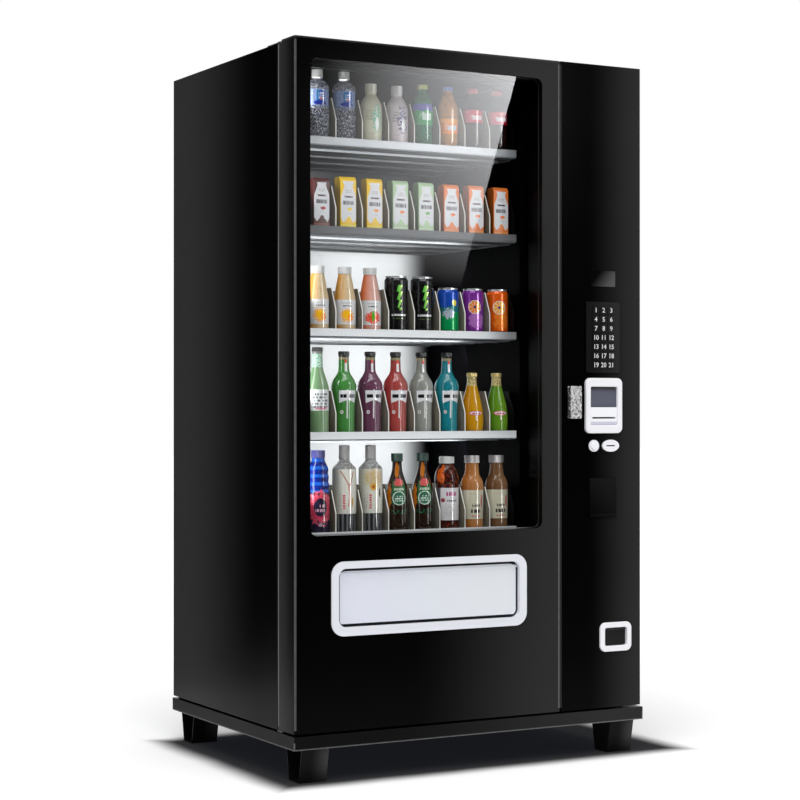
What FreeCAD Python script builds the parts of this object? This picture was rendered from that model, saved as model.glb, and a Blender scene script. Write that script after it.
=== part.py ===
import FreeCAD, Part

import os

# A floor-standing vending machine with conveyor-belt lanes behind a glazed door.
# Millimetres. +Z is up, the front faces -Y and +X is to the right as the buyer sees it.
# The origin is at the middle of the footprint, on the floor.

os.makedirs("parts", exist_ok=True)
V = FreeCAD.Vector
X_AXIS, Y_AXIS, Z_AXIS = V(1, 0, 0), V(0, 1, 0), V(0, 0, 1)

# ---- driving dimensions -------------------------------------------------------------
WIDTH = 1090.0          # across the cabinet
DEPTH = 805.0           # door face to rear panel
HEIGHT = 1930.0         # floor to door top
LOCK_PROUD = 17.0       # the lock stands this far out of the door face
SHEET = 2.0             # cabinet and door steel
THIN = 1.5              # tray and bin steel

SIDE = WIDTH / 2
FRONT = (LOCK_PROUD - DEPTH) / 2
REAR = FRONT + DEPTH

LEG_H = 90.0
PLINTH_H = 35.0
PLINTH_PROUD = 3.0
SHADOW_GAP = 6.0
PLINTH_TOP = LEG_H + PLINTH_H
BODY_BOTTOM = PLINTH_TOP + SHADOW_GAP
ROOF = HEIGHT - 6.0

DOOR_T = 98.0
DOOR_GAP = 5.0          # door back to cabinet, filled by the gasket
DOOR_BACK = FRONT + DOOR_T
CAB_FRONT = DOOR_BACK + DOOR_GAP
DOOR_EDGE_R = 8.0
SPLIT_X = 271.0         # the gap between the two doors
SPLIT_GAP = 3.0
GLASS_DOOR_RIGHT = SPLIT_X - SPLIT_GAP / 2
CONTROL_DOOR_LEFT = SPLIT_X + SPLIT_GAP / 2
PIVOT_INSET = 9.0
PIN_R = 4.0
PIN_CLEAR = 0.06

# rounded openings and plates: x0, x1, z0, z1, corner radius
WINDOW = (-500.0, 212.5, 640.0, 1877.0, 20.0)
HATCH_RING = (-440.0, 159.0, 377.0, 571.5, 36.0)
HATCH_HOLE = (-419.0, 136.5, 400.0, 552.5, 22.0)
FLAP = (-412.0, 131.0, 404.0, 545.0, 18.0)
DISPLAY = (372.0, 456.0, 1310.0, 1354.0, 2.0)
KEYPAD = (356.0, 469.0, 1069.0, 1267.0, 5.0)
BILL_RING = (352.0, 475.0, 899.5, 1054.0, 16.0)
BILL_HOLE = (368.5, 459.0, 922.5, 1029.5, 4.0)
CARD = (368.0, 459.0, 664.0, 775.0, 3.0)
CUP_RING = (402.0, 508.0, 287.5, 369.0, 18.0)
CUP_HOLE = (418.0, 493.5, 303.0, 354.0, 6.0)
LOCK = (296.0, 332.0, 941.0, 1031.0, 4.0)

# the chilled chamber and its trays
WALL = 40.0
PARTITION = (205.0, 233.0)
CHAMBER_BACK = FRONT + 615.0
CHAMBER_FLOOR = 372.0
CHAMBER_TOP = 1881.0
LANES = 8
LANE_PITCH = 80.0
TRAY_LEFT = -448.0
TRAY_RIGHT = TRAY_LEFT + LANES * LANE_PITCH
TRAY_FRONT = FRONT + 110.0
TRAY_REAR = FRONT + 594.0
RAIL_TOPS = (1690.0, 1454.0, 1182.0, 907.0, 641.0)
RAIL_H = 20.0
RAIL_T = 6.0
ROLLER_R = 6.0
SHAFT_R = 2.5
BELT_W = 66.0
BELT_T = 1.2
BELT_DROP = 6.0         # belt surface below the rail top
BELT_FRONT = TRAY_FRONT + 10.0
BELT_REAR = FRONT + 548.0
GEAR_FRONT = FRONT + 560.0
GEAR_BACK = FRONT + 588.0
GEAR_W = 58.0
EAR_T = 3.0             # side plate between a drive roller and its gear case
RUNNER_GAP = 0.5
DIVIDER_T = 3.0
DIVIDER_RISE = 110.0
DIVIDER_NOSE = 50.0
DIVIDER_RAKE = 26.0

KEY_COLUMNS = (387.5, 413.3, 439.1)
KEY_TOP_ROW = 1243.0
KEY_ROW_PITCH = 25.5
KEY_ROWS = 7
KEY_W, KEY_H = 22.4, 21.0
KEY_SLOP = 0.4


# ---- shape helpers ------------------------------------------------------------------
def box(x0, x1, y0, y1, z0, z1):
    return Part.makeBox(x1 - x0, y1 - y0, z1 - z0, V(x0, y0, z0))


def rod(radius, length, start, axis):
    return Part.makeCylinder(radius, length, start, axis)


def prism(points, direction):
    """Closed outline of (x, y, z) points pushed along a vector."""
    corners = [V(*p) for p in points]
    return Part.Face(Part.makePolygon(corners + corners[:1])).extrude(direction)


def rounded(outline, y0, y1, grow=0.0):
    """Upright plate with rounded corners; grow makes it larger all round."""
    x0, x1, z0, z1, radius = outline
    x0, x1, z0, z1, r = x0 - grow, x1 + grow, z0 - grow, z1 + grow, max(radius + grow, 0.5)
    plate = box(x0, x1, y0, y1, z0, z1)
    corners = [e for e in plate.Edges if abs(e.Vertexes[0].Y - e.Vertexes[-1].Y) > 1e-6]
    return plate.makeFillet(r, corners)


def ring(outer, inner, y0, y1, grow=0.0):
    return rounded(outer, y0, y1, grow).cut(rounded(inner, y0 - 1, y1 + 1))


def ellipse_plate(cx, cz, half_x, half_z, y0, y1):
    curve = Part.Ellipse(V(cx, y0, cz), half_x, half_z)
    edge = curve.toShape()
    edge.rotate(V(cx, y0, cz), X_AXIS, 90)
    return Part.Face(Part.Wire(edge)).extrude(V(0, y1 - y0, 0))


def vertical_edges(shape, x, y):
    """The upright edges of a box that stand at x, y."""
    return [e for e in shape.Edges
            if all(abs(v.X - x) < 0.01 and abs(v.Y - y) < 0.01 for v in e.Vertexes)]


def fuse(first, *others):
    return first.multiFuse(list(others)).removeSplitter() if others else first


def cut(shape, *tools):
    for tool in tools:
        shape = shape.cut(tool)
    return shape


def save(name, *solids):
    Part.makeCompound(list(solids)).exportStep("parts/" + name + ".step")


# ---- base: legs and plinth ----------------------------------------------------------
LEG_SIDE_INSET = 23.0
LEG_W = 79.0
LEG_TOP = (5.0, 101.0)      # from the machine's face, at the top and at the sole
LEG_SOLE = (23.0, 81.0)
LEG_SHEET = 3.0
ANCHOR_R = 6.5
ANCHOR_X = SIDE - LEG_SIDE_INSET - LEG_W / 2
ANCHOR_Y = (LEG_SOLE[0] + LEG_SOLE[1]) / 2


def leg(side, end):
    """Folded leg, open on its outer side. side is -1 left or 1 right, end 1 front or -1 rear."""
    face = FRONT if end > 0 else REAR
    x_out = side * (SIDE - LEG_SIDE_INSET)
    x_in = x_out - side * LEG_W

    def outline(x, inset):
        slope = (LEG_SOLE[0] - LEG_TOP[0]) / LEG_H
        low, high = inset, LEG_H - inset
        pairs = [(LEG_SOLE[0] - slope * low + inset, low), (LEG_SOLE[1] + slope * low - inset, low),
                 (LEG_SOLE[1] + slope * high - inset, high), (LEG_SOLE[0] - slope * high + inset, high)]
        return [(x, face + end * y, z) for y, z in pairs]

    body = prism(outline(x_in, 0), V(side * LEG_W, 0, 0))
    pocket = prism(outline(x_in + side * LEG_SHEET, LEG_SHEET), V(side * LEG_W, 0, 0))
    hole = rod(ANCHOR_R, LEG_SHEET * 3, V(side * ANCHOR_X, face + end * ANCHOR_Y, -LEG_SHEET), Z_AXIS)
    return cut(body, pocket, hole)


def make_base():
    save("legs", *[leg(s, e) for s in (-1, 1) for e in (1, -1)])
    skirt = box(-SIDE - PLINTH_PROUD, SIDE + PLINTH_PROUD, FRONT - PLINTH_PROUD, REAR, LEG_H, PLINTH_TOP)
    wall = 3.0
    hollow = box(-SIDE + wall, SIDE - wall, FRONT + wall, REAR - wall, LEG_H - 1, PLINTH_TOP - wall)
    deck = box(-SIDE + 14, SIDE - 14, CAB_FRONT + 4, REAR - 6, PLINTH_TOP, BODY_BOTTOM)
    deck_hole = box(-SIDE + 44, SIDE - 44, CAB_FRONT + 34, REAR - 36, PLINTH_TOP - wall - 1, BODY_BOTTOM + 1)
    pads = [box(*sorted((s * (SIDE - 2), s * (SIDE - 110))), *sorted(ys), LEG_H, LEG_H + 6)
            for s in (-1, 1) for ys in ((FRONT + 2, FRONT + 110), (REAR - 2, REAR - 110))]
    save("plinth", cut(fuse(skirt.cut(hollow), deck, *pads), deck_hole))


# ---- cabinet ------------------------------------------------------------------------
def make_cabinet():
    shell = box(-SIDE, SIDE, CAB_FRONT, REAR, BODY_BOTTOM, ROOF)
    lip = 22.0
    shell = cut(shell,
                box(-SIDE + SHEET, SIDE - SHEET, CAB_FRONT + SHEET, REAR + 1,
                    BODY_BOTTOM + SHEET, ROOF - SHEET),
                box(-SIDE + lip, SIDE - lip, CAB_FRONT - 1, CAB_FRONT + SHEET + 1,
                    BODY_BOTTOM + lip, ROOF - lip))
    save("cabinet_wrap", shell)

    panel = box(-SIDE + SHEET, SIDE - SHEET, REAR - SHEET - 1, REAR - 1, BODY_BOTTOM + SHEET, ROOF - SHEET)
    slot_h, slot_pitch = 7.0, 15.0
    slots = [rounded((-200.0, 120.0, z, z + slot_h, 3.4), REAR - 6, REAR + 1)
             for z in [165 + slot_pitch * i for i in range(10)]]
    slots += [rounded((300.0, 480.0, z, z + slot_h, 3.4), REAR - 6, REAR + 1)
              for z in [1700 + slot_pitch * i for i in range(8)]]
    inlet_hole = box(395, 445, REAR - 6, REAR + 1, 180, 216)
    inlet = cut(box(395.3, 444.7, REAR - 26, REAR, 180.3, 215.7),
                box(402, 438, REAR - 20, REAR + 1, 187, 209))
    save("rear_panel", cut(panel, inlet_hole, *slots), inlet)

    inner_front = CAB_FRONT + SHEET
    left, right = -SIDE + SHEET, PARTITION[0]
    back = CHAMBER_BACK + WALL
    save("inner_liner",
         box(left, left + WALL + 5, inner_front, back, CHAMBER_FLOOR, ROOF - SHEET),
         box(left + WALL + 5, right, CHAMBER_BACK, back, CHAMBER_FLOOR, CHAMBER_TOP),
         box(left + WALL + 5, right, inner_front, back, CHAMBER_TOP, ROOF - SHEET),
         box(left, PARTITION[1], inner_front, back, CHAMBER_FLOOR - 32, CHAMBER_FLOOR),
         box(PARTITION[0], PARTITION[1], inner_front, back, CHAMBER_FLOOR, ROOF - SHEET))


def make_hinges():
    """Four brackets with fixed pins; the doors turn on them."""
    solids = []
    plate = 4.0
    for side in (-1, 1):
        px, py = side * (SIDE - PIVOT_INSET), DOOR_BACK - PIVOT_INSET
        x0, x1 = sorted((side * (SIDE - 4), side * (SIDE - 40)))
        eye = 7.5
        top = fuse(box(x0, x1, CAB_FRONT + 1, CAB_FRONT + 70, ROOF, ROOF + plate),
                   box(px - eye, px + eye, py, CAB_FRONT + 2, ROOF, ROOF + plate),
                   rod(eye, plate, V(px, py, ROOF), Z_AXIS),
                   rod(PIN_R, 20.5, V(px, py, ROOF - 20), Z_AXIS))
        low = fuse(box(px - eye, px + eye, py, CAB_FRONT + 3, PLINTH_TOP, PLINTH_TOP + plate),
                   rod(eye, plate, V(px, py, PLINTH_TOP), Z_AXIS),
                   rod(PIN_R, 30, V(px, py, PLINTH_TOP + 0.5), Z_AXIS))
        solids += [top, low]
    save("door_hinges", *solids)


# ---- trays, belts and their drives --------------------------------------------------
def lane_x(k):
    return TRAY_LEFT + LANE_PITCH * (k + 0.5)


def make_trays():
    trays, rails, dividers, belts, drives, motors, runners = [], [], [], [], [], [], []
    end = 2.0
    for n, top in enumerate(RAIL_TOPS, start=1):
        floor = top - 23.5
        belt_top = top - BELT_DROP
        axle_z = belt_top - BELT_T - 0.2 - ROLLER_R
        pan = fuse(box(TRAY_LEFT - end, TRAY_RIGHT + end, TRAY_FRONT, TRAY_REAR, floor, floor + THIN),
                   box(TRAY_LEFT - end, TRAY_RIGHT + end, TRAY_FRONT, TRAY_FRONT + THIN, floor, belt_top),
                   box(TRAY_LEFT - end, TRAY_LEFT, TRAY_FRONT, TRAY_REAR, floor, belt_top),
                   box(TRAY_RIGHT, TRAY_RIGHT + end, TRAY_FRONT, TRAY_REAR, floor, belt_top),
                   *[box(TRAY_LEFT + 12, TRAY_RIGHT - 12, y, y + 10, floor - 5, floor)
                     for y in (TRAY_FRONT + 70, TRAY_FRONT + 200, TRAY_FRONT + 330, TRAY_FRONT + 450)])
        pan = pan.cut(rod(SHAFT_R + PIN_CLEAR, TRAY_RIGHT - TRAY_LEFT + 20,
                          V(TRAY_LEFT - 10, BELT_FRONT, axle_z), X_AXIS))
        trays.append(pan)

        rail = box(TRAY_LEFT - end, TRAY_RIGHT + end, TRAY_FRONT - RAIL_T, TRAY_FRONT, top - RAIL_H, top)
        groove = box(TRAY_LEFT - end - 1, TRAY_RIGHT + end + 1, TRAY_FRONT - RAIL_T - 1,
                     TRAY_FRONT - RAIL_T + 1.2, top - RAIL_H + 2.5, top - 2.5)
        rails.append(rail.cut(groove))

        shaft = rod(SHAFT_R, TRAY_RIGHT - TRAY_LEFT + 2 * end, V(TRAY_LEFT - end, BELT_FRONT, axle_z), X_AXIS)
        wheels = [rod(ROLLER_R, BELT_W, V(lane_x(k) - BELT_W / 2, BELT_FRONT, axle_z), X_AXIS)
                  for k in range(LANES)]
        save("belt_rollers_%d" % n, fuse(shaft, *wheels))

        for k in range(LANES + 1):
            x = TRAY_LEFT + LANE_PITCH * k - DIVIDER_T / 2
            x = min(max(x, TRAY_LEFT), TRAY_RIGHT - DIVIDER_T)
            y0, y1 = TRAY_FRONT + 3, FRONT + 556.0
            outline = [(x, y0, top - 9), (x, BELT_FRONT + 12, top - 9), (x, BELT_FRONT + 12, floor + THIN),
                       (x, y1, floor + THIN), (x, y1, top + DIVIDER_RISE - 50),
                       (x, y1 - 60, top + DIVIDER_RISE),
                       (x, y0 + DIVIDER_RAKE, top + DIVIDER_RISE), (x, y0, top + DIVIDER_NOSE)]
            dividers.append(prism(outline, V(DIVIDER_T, 0, 0)))

        outer_r, inner_r = ROLLER_R + 0.2 + BELT_T, ROLLER_R + 0.2
        for k in range(LANES):
            x = lane_x(k) - BELT_W / 2
            loops = []
            for r, x0, w in ((outer_r, x, BELT_W), (inner_r, x - 1, BELT_W + 2)):
                loops.append(fuse(rod(r, w, V(x0, BELT_FRONT, axle_z), X_AXIS),
                                  rod(r, w, V(x0, BELT_REAR, axle_z), X_AXIS),
                                  box(x0, x0 + w, BELT_FRONT, BELT_REAR, axle_z - r, axle_z + r)))
            belts.append(loops[0].cut(loops[1]))
            ear = lane_x(k) + BELT_W / 2 + 1
            drives.append(fuse(rod(ROLLER_R, BELT_W + 4, V(x, BELT_REAR, axle_z), X_AXIS),
                               box(ear, ear + EAR_T, BELT_REAR - ROLLER_R, GEAR_BACK - 3, floor + THIN, top)))
            motors.append(box(ear - GEAR_W, ear, GEAR_FRONT, GEAR_BACK, floor + THIN, top + 24))

        left_gap = (-SIDE + SHEET + WALL + 5, TRAY_LEFT - end - RUNNER_GAP)
        right_gap = (TRAY_RIGHT + end + RUNNER_GAP, PARTITION[0])
        for x0, x1 in (left_gap, right_gap):
            low, high = floor - 2, top - 8
            runners.append(fuse(box(x0, x1, FRONT + 160, FRONT + 172, low, high),
                                box(x0, x1, GEAR_FRONT, GEAR_FRONT + 12, low, high),
                                box(x0, x0 + min(8, x1 - x0), FRONT + 150, FRONT + 600, low, high)))
    save("shelf_trays", *trays)
    save("price_rails", *rails)
    save("lane_dividers", *dividers)
    save("conveyor_belts", *belts)
    save("belt_drives", *drives, *motors)
    save("tray_runners", *runners)

    left = -SIDE + SHEET + WALL + 5
    save("led_strips",
         box(left, left + 10, CAB_FRONT + 4, CAB_FRONT + 26, 640, CHAMBER_TOP - 20),
         box(-440, 190, CAB_FRONT + 4, CAB_FRONT + 22, CHAMBER_TOP - 9, CHAMBER_TOP))


# ---- delivery bin and cooling -------------------------------------------------------
def make_bin():
    x0, x1, z0, z1 = -436.0, 156.0, 385.0, 596.0
    y0, y1 = FRONT + 48.0, FRONT + 400.0
    outside = prism([(x0, y0, z0), (x0, y1, z0), (x0, y1, z1), (x0, CAB_FRONT + 20, z1), (x0, y0, z1 - 60)],
                    V(x1 - x0, 0, 0))
    inside = box(x0 + THIN, x1 - THIN, y0 - 1, y1 - THIN, z0 + THIN, z1 + 1)
    feet = [box(x, x + 30, CAB_FRONT + 30, y1, CHAMBER_FLOOR, z0) for x in (x0 + 40, x1 - 70)]
    save("delivery_bin", fuse(outside.cut(inside), *feet))


def make_cooling():
    base = BODY_BOTTOM + SHEET
    tray = box(-500, 215, FRONT + 300, REAR - 20, base, base + 4)
    pot = fuse(rod(78, 150, V(-360, REAR - 170, base + 24), Z_AXIS),
               rod(18, 24, V(-360, REAR - 170, base + 2), Z_AXIS))
    pot = pot.makeFillet(26, [e for e in pot.Edges if abs(e.BoundBox.ZMax - base - 174) < 0.1
                              and e.BoundBox.XLength > 100])
    fan_x, fan_z = -40.0, base + 96.0
    coil = box(fan_x - 150, fan_x + 150, REAR - 66, REAR - 24, base + 4, base + 190)
    shroud = cut(box(fan_x - 150, fan_x + 150, REAR - 92, REAR - 89, base + 4, base + 190),
                 rod(82, 20, V(fan_x, REAR - 100, fan_z), Y_AXIS))
    struts = [box(fan_x - 150, fan_x + 150, REAR - 160, REAR - 154, fan_z - 5, fan_z + 5)]
    struts += [box(fan_x + s * 147 - 3, fan_x + s * 147 + 3, REAR - 160, REAR - 89, fan_z - 5, fan_z + 5)
               for s in (-1, 1)]
    motor = fuse(rod(30, 24, V(fan_x, REAR - 154, fan_z), Y_AXIS),
                 rod(4, 40, V(fan_x, REAR - 131, fan_z), Y_AXIS))
    evaporator = box(-430, 150, FRONT + 440, FRONT + 560, CHAMBER_FLOOR, 560)
    save("cooling_unit", tray, pot, coil, fuse(shroud, motor, *struts), evaporator)

    hub = rod(24, 22, V(fan_x, REAR - 122, fan_z), Y_AXIS)
    blades = []
    for i in range(5):
        blade = box(fan_x - 15, fan_x + 15, REAR - 112, REAR - 110, fan_z + 20, fan_z + 74)
        blade.rotate(V(fan_x, REAR - 111, fan_z), Z_AXIS, 28)
        blade.rotate(V(fan_x, REAR - 111, fan_z), Y_AXIS, 72 * i)
        blades.append(blade)
    fan = fuse(hub, *blades).cut(rod(4 + PIN_CLEAR, 30, V(fan_x, REAR - 125, fan_z), Y_AXIS))
    save("condenser_fan", fan)


# ---- glass door ---------------------------------------------------------------------
def door_outer(x0, x1):
    """Door block with its two upright front edges rounded."""
    block = box(x0, x1, FRONT, DOOR_BACK, BODY_BOTTOM, HEIGHT)
    outer_x = x0 if x0 < 0 else x1
    block = block.makeFillet(DOOR_EDGE_R, vertical_edges(block, outer_x, FRONT))
    inner_x = x1 if x0 < 0 else x0
    return block.makeFillet(2.5, vertical_edges(block, inner_x, FRONT))


def hinge_blocks(side):
    px, py = side * (SIDE - PIVOT_INSET), DOOR_BACK - PIVOT_INSET
    x0, x1 = sorted((side * (SIDE - 1), side * (SIDE - 24)))
    return [box(x0, x1, py - 14, DOOR_BACK - 0.5, z0, z1)
            for z0, z1 in ((BODY_BOTTOM, BODY_BOTTOM + 32), (ROOF - 32, ROOF - 1))]


def hinge_cuts(side):
    """Bores for the two pins, and room for the top bracket as the door swings."""
    px, py = side * (SIDE - PIVOT_INSET), DOOR_BACK - PIVOT_INSET
    x0, x1 = sorted((side * (SIDE + 1), px - side * 11))
    return [rod(PIN_R + PIN_CLEAR, 30, V(px, py, BODY_BOTTOM - 1), Z_AXIS),
            rod(PIN_R + PIN_CLEAR, 30, V(px, py, ROOF - 26), Z_AXIS),
            box(x0, x1, py - 11, DOOR_BACK + 1, ROOF - 1, HEIGHT + 1)]


def make_glass_door():
    x0, x1 = -SIDE, GLASS_DOOR_RIGHT
    overlap = 8.0
    core = (WINDOW[0] - overlap, WINDOW[1] + overlap, CHAMBER_FLOOR + 2, WINDOW[3] + overlap)
    tubes = box(x0 + SHEET, x1 - SHEET, FRONT + SHEET, DOOR_BACK - SHEET, BODY_BOTTOM - 1, HEIGHT - SHEET)
    tubes = tubes.cut(box(core[0] - SHEET, core[1] + SHEET, FRONT - 1, DOOR_BACK + 1,
                          core[2] - SHEET, core[3] + SHEET))
    frame = door_outer(x0, x1).cut(tubes)
    frame = frame.cut(box(core[0], core[1], FRONT + SHEET, DOOR_BACK + 1, core[2], core[3]))
    frame = cut(frame, rounded(WINDOW, FRONT - 1, FRONT + SHEET + 1),
                rounded(HATCH_HOLE, FRONT - 1, FRONT + SHEET + 1, grow=3.5))
    frame = fuse(frame, *hinge_blocks(-1))
    save("glass_door_frame", cut(frame, *hinge_cuts(-1)))

    pane = box(core[0] + 1, core[1] - 1, FRONT + SHEET, FRONT + SHEET + 14, WINDOW[2] - overlap, core[3] - 1)
    save("glass_pane", pane)

    seal_w, seal_t = 14.0, DOOR_GAP - 0.3
    sx0, sx1, sz0, sz1 = x0 + 18, x1 - 12, CHAMBER_FLOOR - 24, HEIGHT - 26
    seal = box(sx0, sx1, DOOR_BACK, DOOR_BACK + seal_t, sz0, sz1)
    save("door_gasket", seal.cut(box(sx0 + seal_w, sx1 - seal_w, DOOR_BACK - 1, DOOR_BACK + seal_t + 1,
                                     sz0 + seal_w, sz1 - seal_w)))


def make_hatch():
    proud, sleeve_back, wall = 4.0, FRONT + 42.0, 3.0
    pivot_y, pivot_z, flap_t, pin_r = FRONT + 12.0, 538.0, 6.0, 3.0
    bezel = fuse(ring(HATCH_RING, HATCH_HOLE, FRONT - proud, FRONT),
                 rounded(HATCH_HOLE, FRONT - 1, sleeve_back, grow=wall).cut(
                     rounded(HATCH_HOLE, FRONT - 2, sleeve_back + 1)))
    chute = prism([(HATCH_HOLE[0], FRONT + 18, 612), (HATCH_HOLE[0], FRONT + 18, 609),
                   (HATCH_HOLE[0], FRONT + 39, HATCH_HOLE[3] + 1),
                   (HATCH_HOLE[0], FRONT + 42, HATCH_HOLE[3] + 1)],
                  V(HATCH_HOLE[1] - HATCH_HOLE[0], 0, 0))
    bezel = fuse(bezel, chute)
    bores = rod(pin_r + PIN_CLEAR, 700, V(HATCH_HOLE[0] - wall - 1, pivot_y, pivot_z), X_AXIS)
    save("hatch_bezel", bezel.cut(bores))

    panel = rounded(FLAP, pivot_y - flap_t / 2, pivot_y + flap_t / 2)
    barrel = rod(5.0, FLAP[1] - FLAP[0], V(FLAP[0], pivot_y, pivot_z), X_AXIS)
    reach = HATCH_HOLE[0] - wall + 0.5
    pins = rod(pin_r, HATCH_HOLE[1] + wall - 0.5 - reach, V(reach, pivot_y, pivot_z), X_AXIS)
    rib = box(FLAP[0] + 30, FLAP[1] - 30, pivot_y, pivot_y + 9, FLAP[2] + 8, FLAP[2] + 11)
    save("delivery_flap", fuse(panel, barrel, pins, rib))


# ---- control door -------------------------------------------------------------------
COIN_Z = 864.5
BUTTON_X, BUTTON_R = 382.0, 11.5
BUTTON_RING_R = 16.5
SLOT_X = 438.0
LOCK_X, LOCK_Z = (LOCK[0] + LOCK[1]) / 2, (LOCK[2] + LOCK[3]) / 2
BARREL_R = 10.0


def make_control_door():
    x0, x1 = CONTROL_DOOR_LEFT, SIDE
    panel = door_outer(x0, x1)
    panel = panel.cut(box(x0 + SHEET, x1 - SHEET, FRONT + SHEET, DOOR_BACK + 1,
                          BODY_BOTTOM + SHEET, HEIGHT - SHEET))
    back_lip = fuse(box(x0, x0 + 20, DOOR_BACK - SHEET, DOOR_BACK, BODY_BOTTOM, HEIGHT),
                    box(x1 - 26, x1, DOOR_BACK - SHEET, DOOR_BACK, BODY_BOTTOM, HEIGHT))
    panel = fuse(panel, back_lip, *hinge_blocks(1))
    through = (FRONT - 1, FRONT + SHEET + 1)
    holes = [rounded(DISPLAY, *through), rounded(KEYPAD, *through, grow=-5),
             rounded(BILL_HOLE, *through, grow=0.5), rounded(CARD, *through),
             rounded(CUP_HOLE, *through, grow=3.5),
             rod(BUTTON_R + 1, 10, V(BUTTON_X, FRONT - 3, COIN_Z), Y_AXIS),
             box(SLOT_X - 17, SLOT_X + 17, *through, COIN_Z - 4, COIN_Z + 4),
             rod(BARREL_R + 1, 10, V(LOCK_X, FRONT - 3, LOCK_Z), Y_AXIS)]
    save("control_door_panel", cut(panel, *holes, *hinge_cuts(1)))


def make_displays():
    lens = rounded(DISPLAY, FRONT - 0.6, FRONT + 3, grow=-0.4)
    board = box(DISPLAY[0] - 6, DISPLAY[1] + 6, FRONT + SHEET, FRONT + 12, DISPLAY[2] - 6, DISPLAY[3] + 6)
    save("display_lens", fuse(lens, board))

    cover = rounded(CARD, FRONT - 1.5, FRONT + 4, grow=-0.4)
    case = box(CARD[0] - 5, CARD[1] + 5, FRONT + SHEET, FRONT + 46, CARD[2] - 5, CARD[3] + 5)
    lip = prism([(CARD[0] + 2, FRONT - 1, CARD[2] + 2), (CARD[0] + 2, FRONT - 5, CARD[2] + 2),
                 (CARD[0] + 2, FRONT - 1, CARD[2] + 12)], V(CARD[1] - CARD[0] - 4, 0, 0))
    save("card_reader_window", fuse(cover, case, lip))


def key_places():
    return [(x, KEY_TOP_ROW - KEY_ROW_PITCH * row) for row in range(KEY_ROWS) for x in KEY_COLUMNS]


def make_keypad():
    plate = rounded(KEYPAD, FRONT - 3, FRONT)
    half_w, half_h = KEY_W / 2, KEY_H / 2
    for x, z in key_places():
        hole = (x - half_w, x + half_w, z - half_h, z + half_h, 1.5)
        plate = plate.cut(rounded(hole, FRONT - 4, FRONT + 1, grow=KEY_SLOP))
    save("keypad_plate", plate)
    for n, (x, z) in enumerate(key_places(), start=1):
        outline = (x - half_w, x + half_w, z - half_h, z + half_h, 1.5)
        cap = rounded(outline, FRONT - 5.2, FRONT + 3)
        front_edges = [e for e in cap.Edges if e.BoundBox.YMax < FRONT - 5.1]
        cap = cap.makeFillet(0.8, front_edges)
        stem = rod(4.5, 6, V(x, FRONT + 2.5, z), Y_AXIS)
        save("key_%02d" % n, fuse(cap, stem))


def make_payment():
    proud = 9.0
    bezel = ring(BILL_RING, BILL_HOLE, FRONT - proud, FRONT)
    front_edges = [e for e in bezel.Edges if e.BoundBox.YMax < FRONT - proud + 0.1]
    save("bill_bezel", bezel.makeFillet(3.0, front_edges))

    x0, x1, z0, z1, _ = BILL_HOLE
    mouth_z = (z0 + 0.4, z0 + 50.0)
    mouth = rounded((x0 + 0.4, x1 - 0.4, *mouth_z, 4.0), FRONT - 6, FRONT + 22)
    mouth = mouth.makeFillet(2.0, [e for e in mouth.Edges if e.BoundBox.YMax < FRONT - 5.9])
    slot_z = (z0 + 18.0, z0 + 22.5)
    slot = box(x0 + 6, x1 - 6, FRONT - 10, FRONT + 180, *slot_z)
    glow = rounded((x0 + 0.4, x1 - 0.4, mouth_z[1] - 2, z1 - 0.4, 4.0), FRONT + 1, FRONT + 22)
    case = box(x0 - 7, x1 + 7, FRONT + 20, FRONT + 270, z0 - 8, z1 + 20)
    save("bill_validator", fuse(mouth, glow, case).cut(slot))

    plate = ellipse_plate(SLOT_X, COIN_Z, 27.8, 16.8, FRONT - 5, FRONT)
    slit = box(SLOT_X - 15, SLOT_X + 15, FRONT - 6, FRONT + 1, COIN_Z - 1.7, COIN_Z + 1.7)
    collar = cut(rod(BUTTON_RING_R, 4.0, V(BUTTON_X, FRONT - 4, COIN_Z), Y_AXIS),
                 rod(BUTTON_R + 0.4, 6.0, V(BUTTON_X, FRONT - 5, COIN_Z), Y_AXIS))
    save("coin_slot_plate", plate.cut(slit), collar)

    cap = rod(BUTTON_R, 12.0, V(BUTTON_X, FRONT - 8, COIN_Z), Y_AXIS)
    cap = cap.makeFillet(1.5, [e for e in cap.Edges if e.BoundBox.YMax < FRONT - 7.9])
    save("coin_return_button", fuse(cap, rod(4.0, 8, V(BUTTON_X, FRONT + 3, COIN_Z), Y_AXIS)))

    mech = box(CONTROL_DOOR_LEFT + 24, 362, FRONT + 12, FRONT + 92, 560, 830)
    chute = prism([(SLOT_X - 20, FRONT + 4, COIN_Z + 12), (SLOT_X + 20, FRONT + 4, COIN_Z + 12),
                   (SLOT_X + 20, FRONT + 4, COIN_Z - 8), (SLOT_X - 20, FRONT + 4, COIN_Z - 26),
                   (362, FRONT + 4, 800), (340, FRONT + 4, 800), (340, FRONT + 4, 826)], V(0, 14, 0))
    chute = chute.cut(rod(14, 30, V(BUTTON_X, FRONT + 2, COIN_Z), Y_AXIS))
    drop = prism([(300, FRONT + 52, 562), (340, FRONT + 52, 562), (474, FRONT + 52, 371),
                  (434, FRONT + 52, 371)], V(0, 12, 0))
    save("coin_mechanism", fuse(mech, chute.translated(V(0, 8, 0))), drop)


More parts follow.
